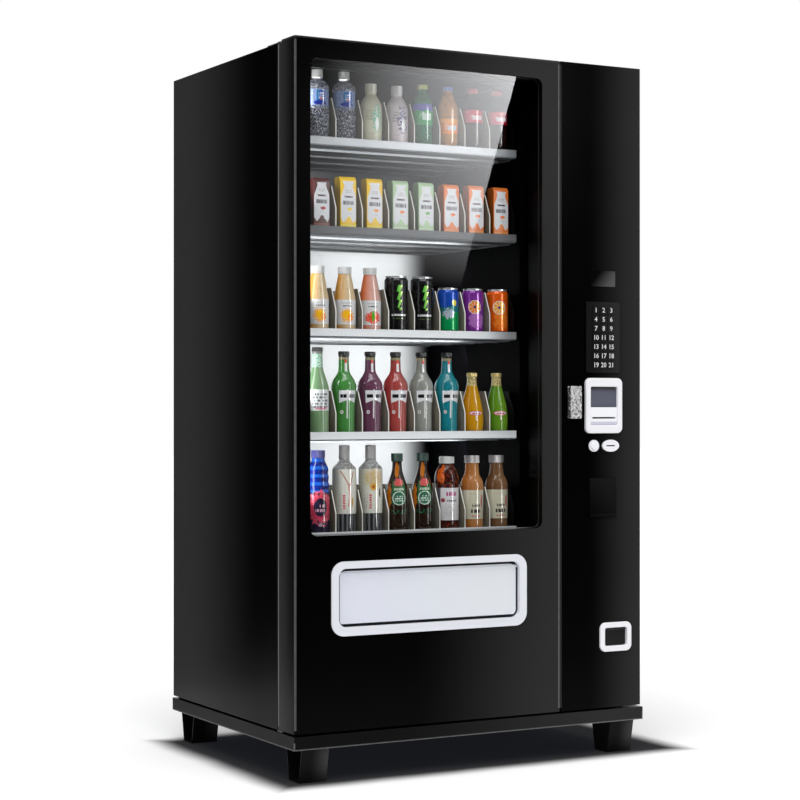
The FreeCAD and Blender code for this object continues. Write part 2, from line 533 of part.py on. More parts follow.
def make_coin_cup():
    proud, back, wall = 6.0, FRONT + 64.0, 3.0
    pivot_y, pivot_z, flap_t, pin_r = FRONT + 5.0, 349.0, 2.4, 1.6
    ring_part = ring(CUP_RING, CUP_HOLE, FRONT - proud, FRONT)
    face_edges = [e for e in ring_part.Edges if e.BoundBox.YMax < FRONT - proud + 0.1]
    ring_part = ring_part.makeFillet(2.0, face_edges)
    cup = rounded(CUP_HOLE, FRONT - 1, back, grow=wall).cut(rounded(CUP_HOLE, FRONT - 2, back - wall))
    mid = (CUP_HOLE[0] + CUP_HOLE[1]) / 2
    cup = cut(fuse(ring_part, cup),
              box(mid - 22, mid + 22, FRONT + 50, FRONT + 60, CUP_HOLE[3] - 2, CUP_HOLE[3] + 10),
              rod(pin_r + PIN_CLEAR, 100, V(CUP_HOLE[0] - 2.5, pivot_y, pivot_z), X_AXIS))
    save("coin_cup", cup)
    flap = rounded((CUP_HOLE[0] + 1.2, CUP_HOLE[1] - 1.2, CUP_HOLE[2] + 2, CUP_HOLE[3] - 1.5, 3.5),
                   pivot_y - flap_t / 2, pivot_y + flap_t / 2)
    barrel = rod(2.4, CUP_HOLE[1] - CUP_HOLE[0] - 2.4, V(CUP_HOLE[0] + 1.2, pivot_y, pivot_z), X_AXIS)
    pins = rod(pin_r, CUP_HOLE[1] - CUP_HOLE[0] + 3.6, V(CUP_HOLE[0] - 1.8, pivot_y, pivot_z), X_AXIS)
    save("coin_flap", fuse(flap, barrel, pins))


def make_lock():
    body = rounded(LOCK, FRONT - LOCK_PROUD, FRONT)
    body = body.makeFillet(2.0, [e for e in body.Edges if e.BoundBox.YMax < FRONT - LOCK_PROUD + 0.1])
    body = body.cut(rod(BARREL_R + PIN_CLEAR, LOCK_PROUD + 2,
                        V(LOCK_X, FRONT - LOCK_PROUD - 1, LOCK_Z), Y_AXIS))
    save("lock_housing", body)

    barrel = rod(BARREL_R, LOCK_PROUD + 8, V(LOCK_X, FRONT - LOCK_PROUD + 1, LOCK_Z), Y_AXIS)
    keyway = box(LOCK_X - 1.2, LOCK_X + 1.2, FRONT - LOCK_PROUD, FRONT - LOCK_PROUD + 10,
                 LOCK_Z - 5, LOCK_Z + 5)
    stem = rod(5.0, DOOR_T + 22, V(LOCK_X, FRONT + 6, LOCK_Z), Y_AXIS)
    cam_y = CAB_FRONT + 14.0
    cam = box(LOCK_X - 8, LOCK_X + 8, cam_y, cam_y + 5, LOCK_Z - 8, LOCK_Z + 62)
    save("lock_barrel", fuse(barrel.cut(keyway), stem, cam))


make_base()
make_cabinet()
make_hinges()
make_trays()
make_bin()
make_cooling()
make_glass_door()
make_hatch()
make_control_door()
make_displays()
make_keypad()
make_payment()
make_coin_cup()
make_lock()
print("anchor spacing", 2 * ANCHOR_X, DEPTH - 2 * ANCHOR_Y)
print("parts", len(os.listdir("parts")))
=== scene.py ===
import math

import bmesh
import bpy
import numpy as np
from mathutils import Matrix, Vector


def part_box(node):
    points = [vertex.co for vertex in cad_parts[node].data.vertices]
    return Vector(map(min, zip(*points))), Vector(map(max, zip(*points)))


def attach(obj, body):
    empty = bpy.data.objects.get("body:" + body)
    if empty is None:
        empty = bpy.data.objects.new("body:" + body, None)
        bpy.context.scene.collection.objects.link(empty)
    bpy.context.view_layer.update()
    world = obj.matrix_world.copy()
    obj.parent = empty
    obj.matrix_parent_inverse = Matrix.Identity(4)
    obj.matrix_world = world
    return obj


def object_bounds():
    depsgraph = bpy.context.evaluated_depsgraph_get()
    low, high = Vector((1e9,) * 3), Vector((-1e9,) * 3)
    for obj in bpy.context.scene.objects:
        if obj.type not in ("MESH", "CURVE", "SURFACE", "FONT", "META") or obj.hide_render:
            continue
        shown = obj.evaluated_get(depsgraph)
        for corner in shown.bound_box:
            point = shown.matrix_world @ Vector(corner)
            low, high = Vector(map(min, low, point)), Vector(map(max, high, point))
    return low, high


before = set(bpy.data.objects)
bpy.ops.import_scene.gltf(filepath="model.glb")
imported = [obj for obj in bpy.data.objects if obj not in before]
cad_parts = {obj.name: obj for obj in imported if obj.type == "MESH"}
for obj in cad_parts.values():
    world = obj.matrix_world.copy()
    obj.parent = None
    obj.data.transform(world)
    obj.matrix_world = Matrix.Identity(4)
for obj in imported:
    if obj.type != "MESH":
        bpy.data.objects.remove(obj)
cad_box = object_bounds()
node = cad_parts

# ---- camera -------------------------------------------------------------------------
# The buyer's eye: five metres in front, to the left of the machine and at half its height. The
# lens is long and nearly level, so upright edges stay upright.
eye = np.array((-2.805, -5.025, 0.983))
eye_yaw, eye_pitch = math.radians(29.021), math.radians(0.0975)
camera = bpy.data.objects.new("camera", bpy.data.cameras.new("camera"))
camera.data.lens, camera.data.sensor_width = 90.16, 36.0
camera.location = eye
camera.rotation_euler = (math.pi / 2 + eye_pitch, 0.0, -eye_yaw)
bpy.context.scene.collection.objects.link(camera)
bpy.context.scene.camera = camera


# ---- studio -------------------------------------------------------------------------
# A white floor with a painted shadow close under the machine, below an even white sky and one
# broad overhead sun. Black flags stand in front and beside, so that the machine's paint mirrors black.
def join(tree, value, socket):
    """A signal is linked to a socket, and a number or a colour is written on it."""
    if isinstance(value, Signal):
        tree.links.new(value.socket, socket)
    else:
        socket.default_value = value


def two_sided(operation, swapped=False):
    """A Python operator of a signal and another value, as one Math node."""
    def method(self, other):
        pair = (other, self) if swapped else (self, other)
        return self.calc(operation, *pair)
    return method


def one_sided(operation, **settings):
    """A function of a signal alone, as one Math node."""
    def method(self):
        return self.calc(operation, self, **settings)
    return method


class Signal:
    """A node's output that works in Python sums: every operator adds one Math node."""

    def __init__(self, tree, socket):
        self.tree, self.socket = tree, socket

    def calc(self, operation, *values, clamp=False):
        maths = self.tree.nodes.new("ShaderNodeMath")
        maths.operation, maths.use_clamp = operation, clamp
        for value, socket in zip(values, maths.inputs):
            join(self.tree, value, socket)
        return Signal(self.tree, maths.outputs[0])

    def out(self, name):
        return Signal(self.tree, self.socket.node.outputs[name])

    __add__, __radd__ = two_sided("ADD"), two_sided("ADD", swapped=True)
    __sub__, __rsub__ = two_sided("SUBTRACT"), two_sided("SUBTRACT", swapped=True)
    __mul__, __rmul__ = two_sided("MULTIPLY"), two_sided("MULTIPLY", swapped=True)
    __truediv__, __pow__ = two_sided("DIVIDE"), two_sided("POWER")
    __gt__, __lt__ = two_sided("GREATER_THAN"), two_sided("LESS_THAN")
    __and__, __or__ = two_sided("MINIMUM"), two_sided("MAXIMUM")
    __abs__, wave = one_sided("ABSOLUTE"), one_sided("SINE")
    part, whole = one_sided("FRACT"), one_sided("FLOOR")

    def clip(self):
        """The signal held between 0 and 1."""
        return self.calc("ADD", self, 0.0, clamp=True)

    def rise(self, low, high):
        """0 below low, 1 above high, and a smooth step between."""
        step = ((self - low) / (high - low)).clip()
        return step * step * (3.0 - 2.0 * step)


class Wiring:
    """The node tree of a material or world, and the ways its nodes are added."""

    def __init__(self, owner):
        owner.use_nodes = True
        self.owner, self.tree = owner, owner.node_tree
        self.tree.nodes.clear()

    def make(self, kind, settings=None, inputs=None, output=0):
        """Any node: its settings first, then the values or links of its inputs."""
        made = self.tree.nodes.new(kind)
        for name, value in (settings or {}).items():
            setattr(made, name, value)
        for name, value in (inputs or {}).items():
            join(self.tree, value, made.inputs[name])
        return Signal(self.tree, made.outputs[output]) if len(made.outputs) else made

    def place(self):
        """X, Y and Z of the surface point in the machine's own frame, in metres."""
        point = self.make("ShaderNodeTexCoord", output="Object")
        parts = self.make("ShaderNodeSeparateXYZ", inputs={0: point})
        return parts, parts.out("Y"), parts.out("Z")

    def noise(self, scale, detail=2.0, stretch=(1.0, 1.0, 1.0), vector=None):
        """Soft random mottle from 0 to 1, so many blobs to the metre."""
        point = vector or self.make("ShaderNodeTexCoord", output="Object")
        point = self.make("ShaderNodeVectorMath", {"operation": "MULTIPLY"}, {0: point, 1: stretch})
        return self.make("ShaderNodeTexNoise", {}, {"Vector": point, "Scale": scale, "Detail": detail})

    def over(self, below, mask, colour):
        """One colour laid over another where the mask is 1."""
        return self.make("ShaderNodeMix", {"data_type": "RGBA"}, {0: mask, 6: below, 7: colour}, 2)

    def relief(self, height, strength=1.0):
        """A height in metres made into a normal."""
        return self.make("ShaderNodeBump", {}, {"Height": height, "Distance": 1.0, "Strength": strength})

    def grey(self, level):
        """A number made into a neutral colour."""
        return self.make("ShaderNodeCombineColor", {}, {0: level, 1: level, 2: level})

    def shade(self, colour, **sockets):
        """The finished surface: a Principled shader, its socket names with _ for a space."""
        inputs = {"Base Color": colour, **{k.replace("_", " "): v for k, v in sockets.items()}}
        shader = self.make("ShaderNodeBsdfPrincipled", {}, inputs)
        self.make("ShaderNodeOutputMaterial", {}, {"Surface": shader})
        return self.owner


def new_finish(name):
    """The wiring of a new material."""
    return Wiring(bpy.data.materials.new(name))


def tint(red, green, blue):
    """A colour as it is seen on a screen, from 0 to 255, made linear."""
    parts = np.array((red, green, blue)) / 255.0
    linear = np.where(parts <= 0.04045, parts / 12.92, ((parts + 0.055) / 1.055) ** 2.4)
    return tuple(linear.tolist()) + (1.0,)


def sheet_mesh(name, grid, finishes, around=False, wrap=None, zone=None):
    """A surface from a grid of points, rows by columns. Where around is true the last column
    joins the first. wrap is a grid of (u, v), one column wider; zone is a finish for each row."""
    rows, columns = grid.shape[:2]
    last = columns if around else columns - 1
    low = np.arange(rows - 1)[:, None]
    left = np.arange(last)[None, :]
    right = (left + 1) % columns
    corners = [low * columns + left, low * columns + right,
               (low + 1) * columns + right, (low + 1) * columns + left]
    faces = np.stack([np.broadcast_to(c, (rows - 1, last)) for c in corners], axis=-1).reshape(-1, 4)
    mesh = bpy.data.meshes.new(name)
    mesh.from_pydata(grid.reshape(-1, 3).tolist(), [], faces.tolist())
    if wrap is not None:
        uv = np.stack([wrap[:-1, :-1], wrap[:-1, 1:], wrap[1:, 1:], wrap[1:, :-1]], axis=2)
        layer = mesh.uv_layers.new(name="wrap")
        layer.data.foreach_set("uv", uv.reshape(-1).astype(np.float32))
    for finish in finishes:
        mesh.materials.append(finish)
    if zone is not None:
        mesh.polygons.foreach_set("material_index", np.repeat(zone, last).astype(np.int32))
    mesh.polygons.foreach_set("use_smooth", np.ones(len(faces), bool))
    made = bpy.data.objects.new(name, mesh)
    bpy.context.scene.collection.objects.link(made)
    return made


def quad(name, corners, finish):
    """A flat four-cornered sheet. Its corners run along the bottom, then along the top."""
    grid = np.array(corners, float).reshape(2, 2, 3)
    wrap = np.array([[(0, 0), (1, 0)], [(0, 1), (1, 1)]], float)
    return sheet_mesh(name, grid, [finish], wrap=wrap)


def mirror_only(card):
    """A flag or card that only reflections see: it neither lights nor shades anything."""
    card.visible_camera = card.visible_diffuse = card.visible_transmission = False
    card.visible_shadow = card.visible_volume_scatter = False


w = new_finish("studio_floor")
x, y, z = w.place()
outside = (abs(x - 0.04) - 0.545) | (abs(y) - 0.338)
# Painted shadow: the floor's colour and its glow for the eye fall to near black under the machine and
# just around it.
clear_of_painted_shadow = (outside + 0.02 * (w.noise(4.0) - 0.5)).rise(0.045, 0.145)
eye_ray = w.make("ShaderNodeLightPath")
camera_ray_glow = w.over((0.008, 0.0085, 0.011, 1.0), clear_of_painted_shadow, (0.12, 0.12, 0.12, 1.0))
floor_paint = w.shade(w.grey(0.03 + 0.94 * clear_of_painted_shadow), Roughness=0.9, Specular_IOR_Level=0.0,
                      Emission_Color=w.over((0.0, 0.0, 0.0, 1.0), eye_ray, camera_ray_glow), Emission_Strength=1.0)
floor_reach = 30.0
floor = quad("studio_floor", [(-floor_reach, -floor_reach, 0), (floor_reach, -floor_reach, 0),
                              (-floor_reach, floor_reach, 0), (floor_reach, floor_reach, 0)], floor_paint)

sky_on_matt = 0.50
sky = Wiring(bpy.context.scene.world or bpy.data.worlds.new("sky"))
bpy.context.scene.world = sky.owner
ray = sky.make("ShaderNodeLightPath")
seen = ray | ray.out("Is Glossy Ray") | ray.out("Is Transmission Ray")
glow = sky.make("ShaderNodeBackground", {}, {"Color": (1.0, 1.0, 1.0, 1.0),
                                             "Strength": sky_on_matt + (1.0 - sky_on_matt) * seen})
sky.make("ShaderNodeOutputWorld", {}, {"Surface": glow})
bpy.context.scene.view_settings.view_transform = "Standard"


def lamp(name, kind, spot, aim, **settings):
    """A lamp at a spot, turned to shine at a point."""
    light = bpy.data.lights.new(name, kind)
    for key, value in settings.items():
        setattr(light, key, value)
    made = bpy.data.objects.new(name, light)
    made.location = spot
    toward = (np.array(aim) - np.array(spot)).tolist()
    made.rotation_euler = Vector(toward).to_track_quat("-Z", "Y").to_euler()
    made.visible_camera = made.visible_transmission = False
    bpy.context.scene.collection.objects.link(made)
    return made


lamp("overhead_sun", "SUN", (-1.2, -2.4, 5.2), (0, 0, 0), energy=2.0, angle=math.radians(50))

flag_black = new_finish("flag_black")
flag_black.make("ShaderNodeOutputMaterial", {}, {"Surface": flag_black.make(
    "ShaderNodeEmission", {}, {"Color": (0.0, 0.0, 0.0, 1.0), "Strength": 0.0})})
flag_top = 3.2
front_flag_y, side_flag_y = cad_box[0].y - 1.2, cad_box[1].y + 0.8
for flag_name, left, right, depth in (("front_flag", -2.2, 1.9, front_flag_y),
                                      ("side_flag", -4.0, -0.60, side_flag_y)):
    flag_corners = [(left, depth, 0.0), (right, depth, 0.0),
                    (left, depth, flag_top), (right, depth, flag_top)]
    mirror_only(quad(flag_name, flag_corners, flag_black.owner))


# ---- black painted steel: cabinet, doors, plinth and legs ---------------------------
# Folded steel sheet, sprayed with a satin black powder coat. A painted sheen greys the coat where
# each panel turns away from the middle, and painted highlights draw a grey line along the folded edges.
def edge_line(x, y, z, name, width):
    """1 on the outer edges of a box-shaped part: there the second nearest box face is close."""
    low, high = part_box(name)
    gaps = [(v - a) & (b - v) for v, a, b in zip((x, y, z), low, high)]
    first, second = gaps[0] & gaps[1], gaps[0] | gaps[1]
    nearest_two = first | (second & gaps[2])
    return (1.0 - nearest_two / width).clip()


def black_coat(name, deep, painted_sheen, edge=0.06, edge_width=0.0022, highlit_edges=None):
    """The coat's base grey is deep plus a painted sheen from the third argument; fine orange peel on top.
    The last argument says how strong the painted edge highlights are, from 0 to 1; both take (x, y, z)."""
    w = new_finish("black_coat_" + name)
    x, y, z = w.place()
    peel, cloud = w.noise(900.0, 3.0), w.noise(7.0, 3.0)
    # Painted light: the third argument adds a painted sheen, and the edge lines are painted highlights.
    level = deep + painted_sheen(x, y, z) * (0.96 + 0.08 * cloud)
    painted_edge_line = edge_line(x, y, z, name, edge_width) * (0.7 + 0.5 * w.noise(60.0))
    level = level + edge * (painted_edge_line * highlit_edges(x, y, z) if highlit_edges else painted_edge_line)
    node[name].material_slots[0].material = w.shade(
        w.grey(level), Roughness=0.27 + 0.10 * cloud, Specular_IOR_Level=0.06,
        Normal=w.relief(peel * 0.00006))


wrap_low, wrap_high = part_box("cabinet_wrap")
door_low, door_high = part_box("glass_door_frame")
panel_low, panel_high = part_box("control_door_panel")


# Painted sheen: these functions grey the coat towards one side of each panel.
def side_fade(x, y, z):
    depth = wrap_high.y - wrap_low.y
    return 0.030 * y.rise(wrap_low.y + 0.15 * depth, wrap_low.y + 0.90 * depth)


def glass_door_fade(x, y, z):
    width, deep = door_high.x - door_low.x, door_high.y - door_low.y
    front = 0.026 * x.rise(door_low.x + 0.42 * width,
                           door_low.x + 1.02 * width) * (y < door_low.y + 0.003)
    fold = (0.004 + 0.026 * y.rise(door_low.y, door_low.y + deep)) * (x < door_low.x + 0.0015)
    return front | fold


def control_door_fade(x, y, z):
    width = panel_high.x - panel_low.x
    return 0.026 * x.rise(panel_low.x + 0.32 * width, panel_low.x + 1.05 * width)


# Painted edge highlights: none along the doors' foot and weaker along their top; on the plinth only along
# its lower half.
def door_wear(x, y, z):
    return (z > door_low.z + 0.010) * (1.0 - 0.80 * (z > door_high.z - 0.010))


def plinth_wear(x, y, z):
    return z < 0.5 * (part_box("plinth")[0].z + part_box("plinth")[1].z)


def leg_fade(x, y, z):
    """A painted sheen: the face toward the buyer goes from black at its left to grey at its right."""
    leg_low, leg_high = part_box("legs")
    leg_width = 0.079
    across = x - (x < 0.0) * leg_low.x - (x > 0.0) * (leg_high.x - leg_width)
    return 0.006 + 0.050 * across.rise(0.025, 0.085) * z.rise(-0.02, 0.05)


black_coat("cabinet_wrap", 0.0010, side_fade, edge=0.03)
black_coat("glass_door_frame", 0.0004, glass_door_fade, edge=0.24, edge_width=0.0060, highlit_edges=door_wear)
black_coat("control_door_panel", 0.0004, control_door_fade, edge=0.08, edge_width=0.0030, highlit_edges=door_wear)
# The plinth's painted sheen greys it towards the right, and its painted edge highlight runs along its
# foot.
black_coat("plinth", 0.001, lambda x, y, z: 0.003 + 0.022 * x.rise(-0.3, 0.5),
           edge=0.16, edge_width=0.004, highlit_edges=plinth_wear)
black_coat("legs", 0.001, leg_fade, edge=0.03)


# ---- rear panel ---------------------------------------------------------------------
# Galvanised sheet with two pressed louvre fields and a moulded mains inlet. It closes the wrap
# from behind and is screwed into its folded edges.
def plain_finish(name, colour, roughness, metallic=0.0, blobs=40.0, shift=0.12, bump=0.0, **more):
    """A moulded, plated or painted finish: mottled tone, roughness and a fine relief."""
    w = new_finish(name)
    mottle, fine = w.noise(blobs, 4.0), w.noise(blobs * 12.0, 2.0)
    darker = tuple(c * (1.0 - shift) for c in colour[:3]) + (1.0,)
    extra = {"Normal": w.relief(fine * bump)} if bump else {}
    return w.shade(w.over(darker, mottle, colour), Roughness=roughness * 0.8 + roughness * 0.4 * fine,
                   Metallic=metallic, **extra, **more)


def dress(finish, *names):
    for name in names:
        for slot in node[name].material_slots:
            slot.material = finish


dress(plain_finish("zinc_sheet", tint(150, 153, 156), 0.42, 0.75, 14.0, 0.30, 0.00004), "rear_panel")


# ---- chilled chamber ----------------------------------------------------------------
# A white foamed liner with a black right-hand partition; painted shade darkens the back wall into
# that corner, behind the top two rows and under the ceiling. Two frosted lamp covers: the one up
# the left-hand front edge is lit, the top one is not and is painted near black as shade.
liner_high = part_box("inner_liner")[1]
tray_low, tray_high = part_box("shelf_trays")
belt_level = [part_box(f"belt_rollers_{n}")[1].z + 0.0014 for n in range(1, 6)]
w = new_finish("liner")
x, y, z = w.place()
partition_left = liner_high.x - 0.028
# Painted shade: near black into the right-hand corner, darker grey behind the top two rows and more so to
# the right, and dark under the ceiling.
corner_painted_shade = (x - 0.03 * (w.noise(3.0) - 0.5)).rise(partition_left - 0.120, partition_left - 0.005)
upper_rows_painted_shade = z.rise(belt_level[1] - 0.008, belt_level[1] + 0.022)
ceiling_painted_shade = z.rise(liner_high.z - 0.14, liner_high.z - 0.05)
white = w.over(tint(232, 234, 236), w.noise(6.0, 3.0), tint(222, 225, 228))
white = w.over(white, upper_rows_painted_shade * (0.50 + 0.45 * x.rise(-0.25, -0.08)), tint(84, 87, 91))
white = w.over(white, ceiling_painted_shade, tint(26, 27, 29))
dress(w.shade(w.over(white, corner_painted_shade, tint(3, 3, 5)), Roughness=0.45 + 0.1 * w.noise(25.0),
              Specular_IOR_Level=0.03, Normal=w.relief(w.noise(300.0) * 0.00003)), "inner_liner")

w = new_finish("lamp_cover")
x, y, z = w.place()
frost = w.noise(250.0)
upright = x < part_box("led_strips")[0].x + 0.012
glow = w.over((0.90, 0.95, 1.0, 1.0), frost, (1.0, 1.0, 1.0, 1.0))
# Painted shade: the unlit top cover is near black; the left-hand cover is the lit lamp.
dress(w.shade(w.over(tint(16, 17, 18), upright, tint(250, 250, 252)), Roughness=0.3,
              Emission_Color=w.over((0.0, 0.0, 0.0, 1.0), upright, glow), Emission_Strength=0.55),
      "led_strips")

row_lamp_power = (0.22, 0.24, 0.62, 0.72, 0.72)
wall_wash_power = (0.06, 0.12, 0.72, 0.80, 0.80)
wall_only = bpy.data.collections.new("wall_wash_lit")
wall_only.objects.link(node["inner_liner"])
row_x, wash_x, wash_y = -0.19, 0.02, liner_high.y - 0.26
for n, power in enumerate(row_lamp_power):
    ceiling = belt_level[n - 1] - 0.035 if n else liner_high.z - 0.06
    lamp(f"row_lamp_{n + 1}", "AREA", (row_x, tray_low.y + 0.045, ceiling),
         (row_x, tray_high.y + 0.1, belt_level[n] + 0.08), energy=power,
         shape="RECTANGLE", size=0.50, size_y=0.02)
    wash = lamp(f"wall_wash_{n + 1}", "AREA", (wash_x, wash_y, ceiling - 0.01),
                (wash_x, liner_high.y - 0.02, ceiling - 0.10), energy=wall_wash_power[n],
                shape="RECTANGLE", size=0.42, size_y=0.06)
    wash.light_linking.receiver_collection = wall_only
strip_spot, strip_aim = (-0.484, -0.276, 1.25), (0.1, -0.20, 1.25)
lamp("left_strip_lamp", "AREA", strip_spot, strip_aim, energy=0.9,
     shape="RECTANGLE", size=0.02, size_y=1.2)


# ---- trays and lanes ----------------------------------------------------------------
# Zinc-plated pans carry ribbed black belts between moulded cream dividers. An anodised label
# rail is riveted across the front of each pan. Rollers and gear cases are moulded plastic. The
# second rail is darker. Painted shade darkens the pans' lower faces, the dividers' sides and the
# rails towards the right, and the divider at the right-hand end of each tray is painted black as
# shade; the lower rails carry a painted glow.
def brushed(name, colour, roughness, metallic, along=(1.0, 60.0, 60.0), scratch=0.25):
    """Metal brushed along one axis: noise stretched into hairlines."""
    w = new_finish(name)
    hairs = w.noise(60.0, 3.0, along)
    darker = tuple(c * (1.0 - scratch) for c in colour[:3]) + (1.0,)
    return w.shade(w.over(darker, hairs, colour), Roughness=roughness * (0.75 + 0.5 * hairs),
                   Metallic=metallic, Normal=w.relief(hairs * 0.00003))


w = new_finish("zinc_plate")
up_down = w.make("ShaderNodeSeparateXYZ",
                 inputs={0: w.make("ShaderNodeTexCoord", output="Normal")}).out("Z")
x, y, z = w.place()
hairs = w.noise(60.0, 3.0, (1.0, 60.0, 60.0))
rolled = (y * (2 * math.pi / 0.045)).wave() > 0.86
# Painted shade: the pans' lower faces are dark grey, crossed by pale stripes every 45 mm.
pan_underside_painted_shade = w.over(tint(44, 45, 48), rolled, tint(150, 153, 158))
plate = w.over(w.over(tint(110, 113, 117), hairs, tint(138, 141, 145)), up_down < -0.5, pan_underside_painted_shade)
dress(w.shade(plate, Roughness=0.30 + 0.20 * hairs, Metallic=0.3, Normal=w.relief(hairs * 0.00003)),
      "shelf_trays", "tray_runners")
w = new_finish("anodised_rail")
x, y, z = w.place()
hairs = w.noise(60.0, 3.0, (1.0, 60.0, 60.0))
under_row = [level - 0.05 for level in belt_level]
second_rail = (z > under_row[1]) & (z < under_row[0])
# The second rail is darker and the top one a little darker; painted shade darkens the top three rails
# towards the right-hand corner.
silver = w.over(tint(234, 236, 240), 0.9 * second_rail, tint(84, 85, 88))
silver = w.over(silver, (0.75 - 0.6 * second_rail) * x.rise(0.08, 0.18) * (z > under_row[2]),
                tint(76, 77, 82))
silver = w.over(silver, 0.40 * (z > under_row[0]), tint(140, 143, 148))
# Painted glow: the lower three rails glow a little, less towards the right.
rail_painted_glow = 0.15 * (z < under_row[1]) * (1.0 - 0.8 * x.rise(-0.02, 0.19))
dress(w.shade(w.over(silver, 0.12 * hairs, tint(120, 122, 126)), Roughness=0.28 + 0.12 * hairs,
              Metallic=0.15, Emission_Color=w.grey(rail_painted_glow), Emission_Strength=1.0,
              Normal=w.relief(hairs * 0.00003)), "price_rails")
w = new_finish("cream_divider")
turned_to = w.make("ShaderNodeSeparateXYZ", inputs={0: w.make("ShaderNodeTexCoord", output="Normal")})
side_face = (abs(turned_to) - 0.4).rise(0.0, 0.4)
x, y, z = w.place()
grain = w.noise(30.0, 4.0)
# Painted shade: the dividers' side faces are a dark brown-grey, and the divider at the right-hand end is
# painted near black.
divider_side_painted_shade = w.over(tint(118, 112, 100), grain, tint(138, 132, 118))
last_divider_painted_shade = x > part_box("lane_dividers")[1].x - 0.010
divider = w.over(w.over(tint(236, 233, 226), side_face, divider_side_painted_shade), last_divider_painted_shade, tint(7, 7, 8))
dress(w.shade(divider, Roughness=0.35 + 0.1 * grain, Specular_IOR_Level=0.25,
              Normal=w.relief(grain * 0.00002)), "lane_dividers")
w = new_finish("ribbed_belt")
x, y, z = w.place()
ribs = (y * (2 * math.pi / 0.006)).wave()
dress(w.shade(w.over(tint(24, 24, 26), ribs * 0.5 + 0.5, tint(44, 44, 47)),
              Roughness=0.6 + 0.1 * w.noise(80.0), Normal=w.relief(ribs * 0.0004)), "conveyor_belts")
dress(plain_finish("grey_roller", tint(92, 93, 95), 0.45, bump=0.00002),
      *[f"belt_rollers_{n}" for n in range(1, 6)])
dress(plain_finish("gear_case", tint(44, 45, 48), 0.5, bump=0.00005), "belt_drives", "coin_mechanism")
dress(brushed("plated_bracket", tint(120, 122, 126), 0.4, 0.7), "door_hinges")
dress(brushed("bin_sheet", tint(120, 123, 127), 0.42, 0.5), "delivery_bin")


# ---- glass, gasket and window bead --------------------------------------------------
# Clear toughened double glazing behind the door sheet, on a soft black gasket. A dark bead of
# sealant runs round the opening, painted pale along its left side and foot as a painted highlight
# from the lamp strip.
w = new_finish("clear_glazing")
facing = 1.0 - w.make("ShaderNodeNewGeometry", output="Backfacing")
sheen = w.make("ShaderNodeFresnel", {}, {"IOR": 1.5}) * facing
smear = 0.004 + 0.006 * w.noise(9.0, 4.0)
clear = w.make("ShaderNodeBsdfTransparent", {}, {"Color": (0.985, 0.992, 0.99, 1.0)})
gloss = w.make("ShaderNodeBsdfGlossy", {}, {"Color": (1.0, 1.0, 1.0, 1.0), "Roughness": 0.01})
w.make("ShaderNodeOutputMaterial", {}, {"Surface": w.make(
    "ShaderNodeMixShader", {}, {0: sheen + smear * facing * 0.2, 1: clear, 2: gloss})})
dress(w.owner, "glass_pane")
dress(plain_finish("gasket_rubber", tint(30, 30, 32), 0.55, bump=0.00004), "door_gasket")

pane_low, pane_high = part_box("glass_pane")
glass_y = pane_low.y
window = (pane_low.x + 0.007, pane_high.x - 0.007, pane_low.z + 0.008, pane_high.z - 0.007)


def rounded_loop(x0, x1, z0, z1, radius, steps=10):
    """Points round a rectangle with quarter-circle corners, counter-clockwise seen from the
    front, with the outward direction at each."""
    turn = np.linspace(0, math.pi / 2, steps)
    centres = ((x1 - radius, z1 - radius), (x0 + radius, z1 - radius),
               (x0 + radius, z0 + radius), (x1 - radius, z0 + radius))
    angle = np.concatenate([turn + k * math.pi / 2 for k in range(4)])
    centre = np.repeat(np.array(centres), steps, axis=0)
    out = np.stack([np.cos(angle), np.sin(angle)], axis=1)
    return centre + radius * out, out


def moulding(name, loop, out, section, finish):
    """A closed section of (inward, depth) points carried round a loop in an upright plane."""
    inward, depth = np.array(section, float).T
    x = loop[None, :, 0] - inward[:, None] * out[None, :, 0]
    z = loop[None, :, 1] - inward[:, None] * out[None, :, 1]
    grid = np.stack([x, np.broadcast_to(depth[:, None], x.shape), z], axis=-1)
    grid = np.concatenate([grid, grid[:1]], axis=0)
    return sheet_mesh(name, grid, [finish], around=True)


w = new_finish("bead_sealant")
x, y, z = w.place()
# Painted highlight: the bead is pale along its left side and foot, dark elsewhere.
lit = (1.0 - x.rise(0.12, 0.20)) * (1.0 - z.rise(1.72, 1.87))
sealant = w.shade(w.over(tint(10, 10, 11), lit, tint(150, 152, 156)),
                  Roughness=0.45 + 0.1 * w.noise(120.0), Normal=w.relief(w.noise(400.0) * 0.00005))
loop, out = rounded_loop(*window, radius=0.020)
turn = np.linspace(0, 2 * math.pi, 9)[:-1]
bead_r = 0.0016
bead_y = pane_high.y + bead_r
bead = moulding("window_bead", loop, out,
                [(bead_r - bead_r * math.cos(a) - 0.0004, bead_y - bead_r * math.sin(a)) for a in turn],
                sealant)
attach(bead, "glass_door")


# ---- reflection card in the glass ---------------------------------------------------
# A window-shaped softbox mirrored in the pane: a slanted bright edge from the top, fading to
# the left and downwards. Its corners follow from the mirrored eye, so it lies where it shows.
w = new_finish("softbox_card")
across = w.make("ShaderNodeSeparateXYZ", inputs={0: w.make("ShaderNodeUVMap", {"uv_map": "wrap"})})
upward = across.out("Y")
softbox_peak = 14.5
fade = softbox_peak * across ** 1.5 * upward ** 1.15
w.make("ShaderNodeOutputMaterial", {}, {"Surface": w.make(
    "ShaderNodeEmission", {}, {"Color": (0.97, 0.98, 1.0, 1.0), "Strength": fade})})
mirrored_eye = np.array((eye[0], 2 * glass_y - eye[1], eye[2]))
card_gap = 1.0
reach = (abs(glass_y - eye[1]) + card_gap) / abs(glass_y - eye[1])
edge_top = np.array((0.131, glass_y, 1.884))
edge_foot = np.array((-0.050, glass_y, 1.293))
spread = np.array((-0.62, 0.0, 0.0))
corners = [edge_foot + spread, edge_foot, edge_top + spread, edge_top]
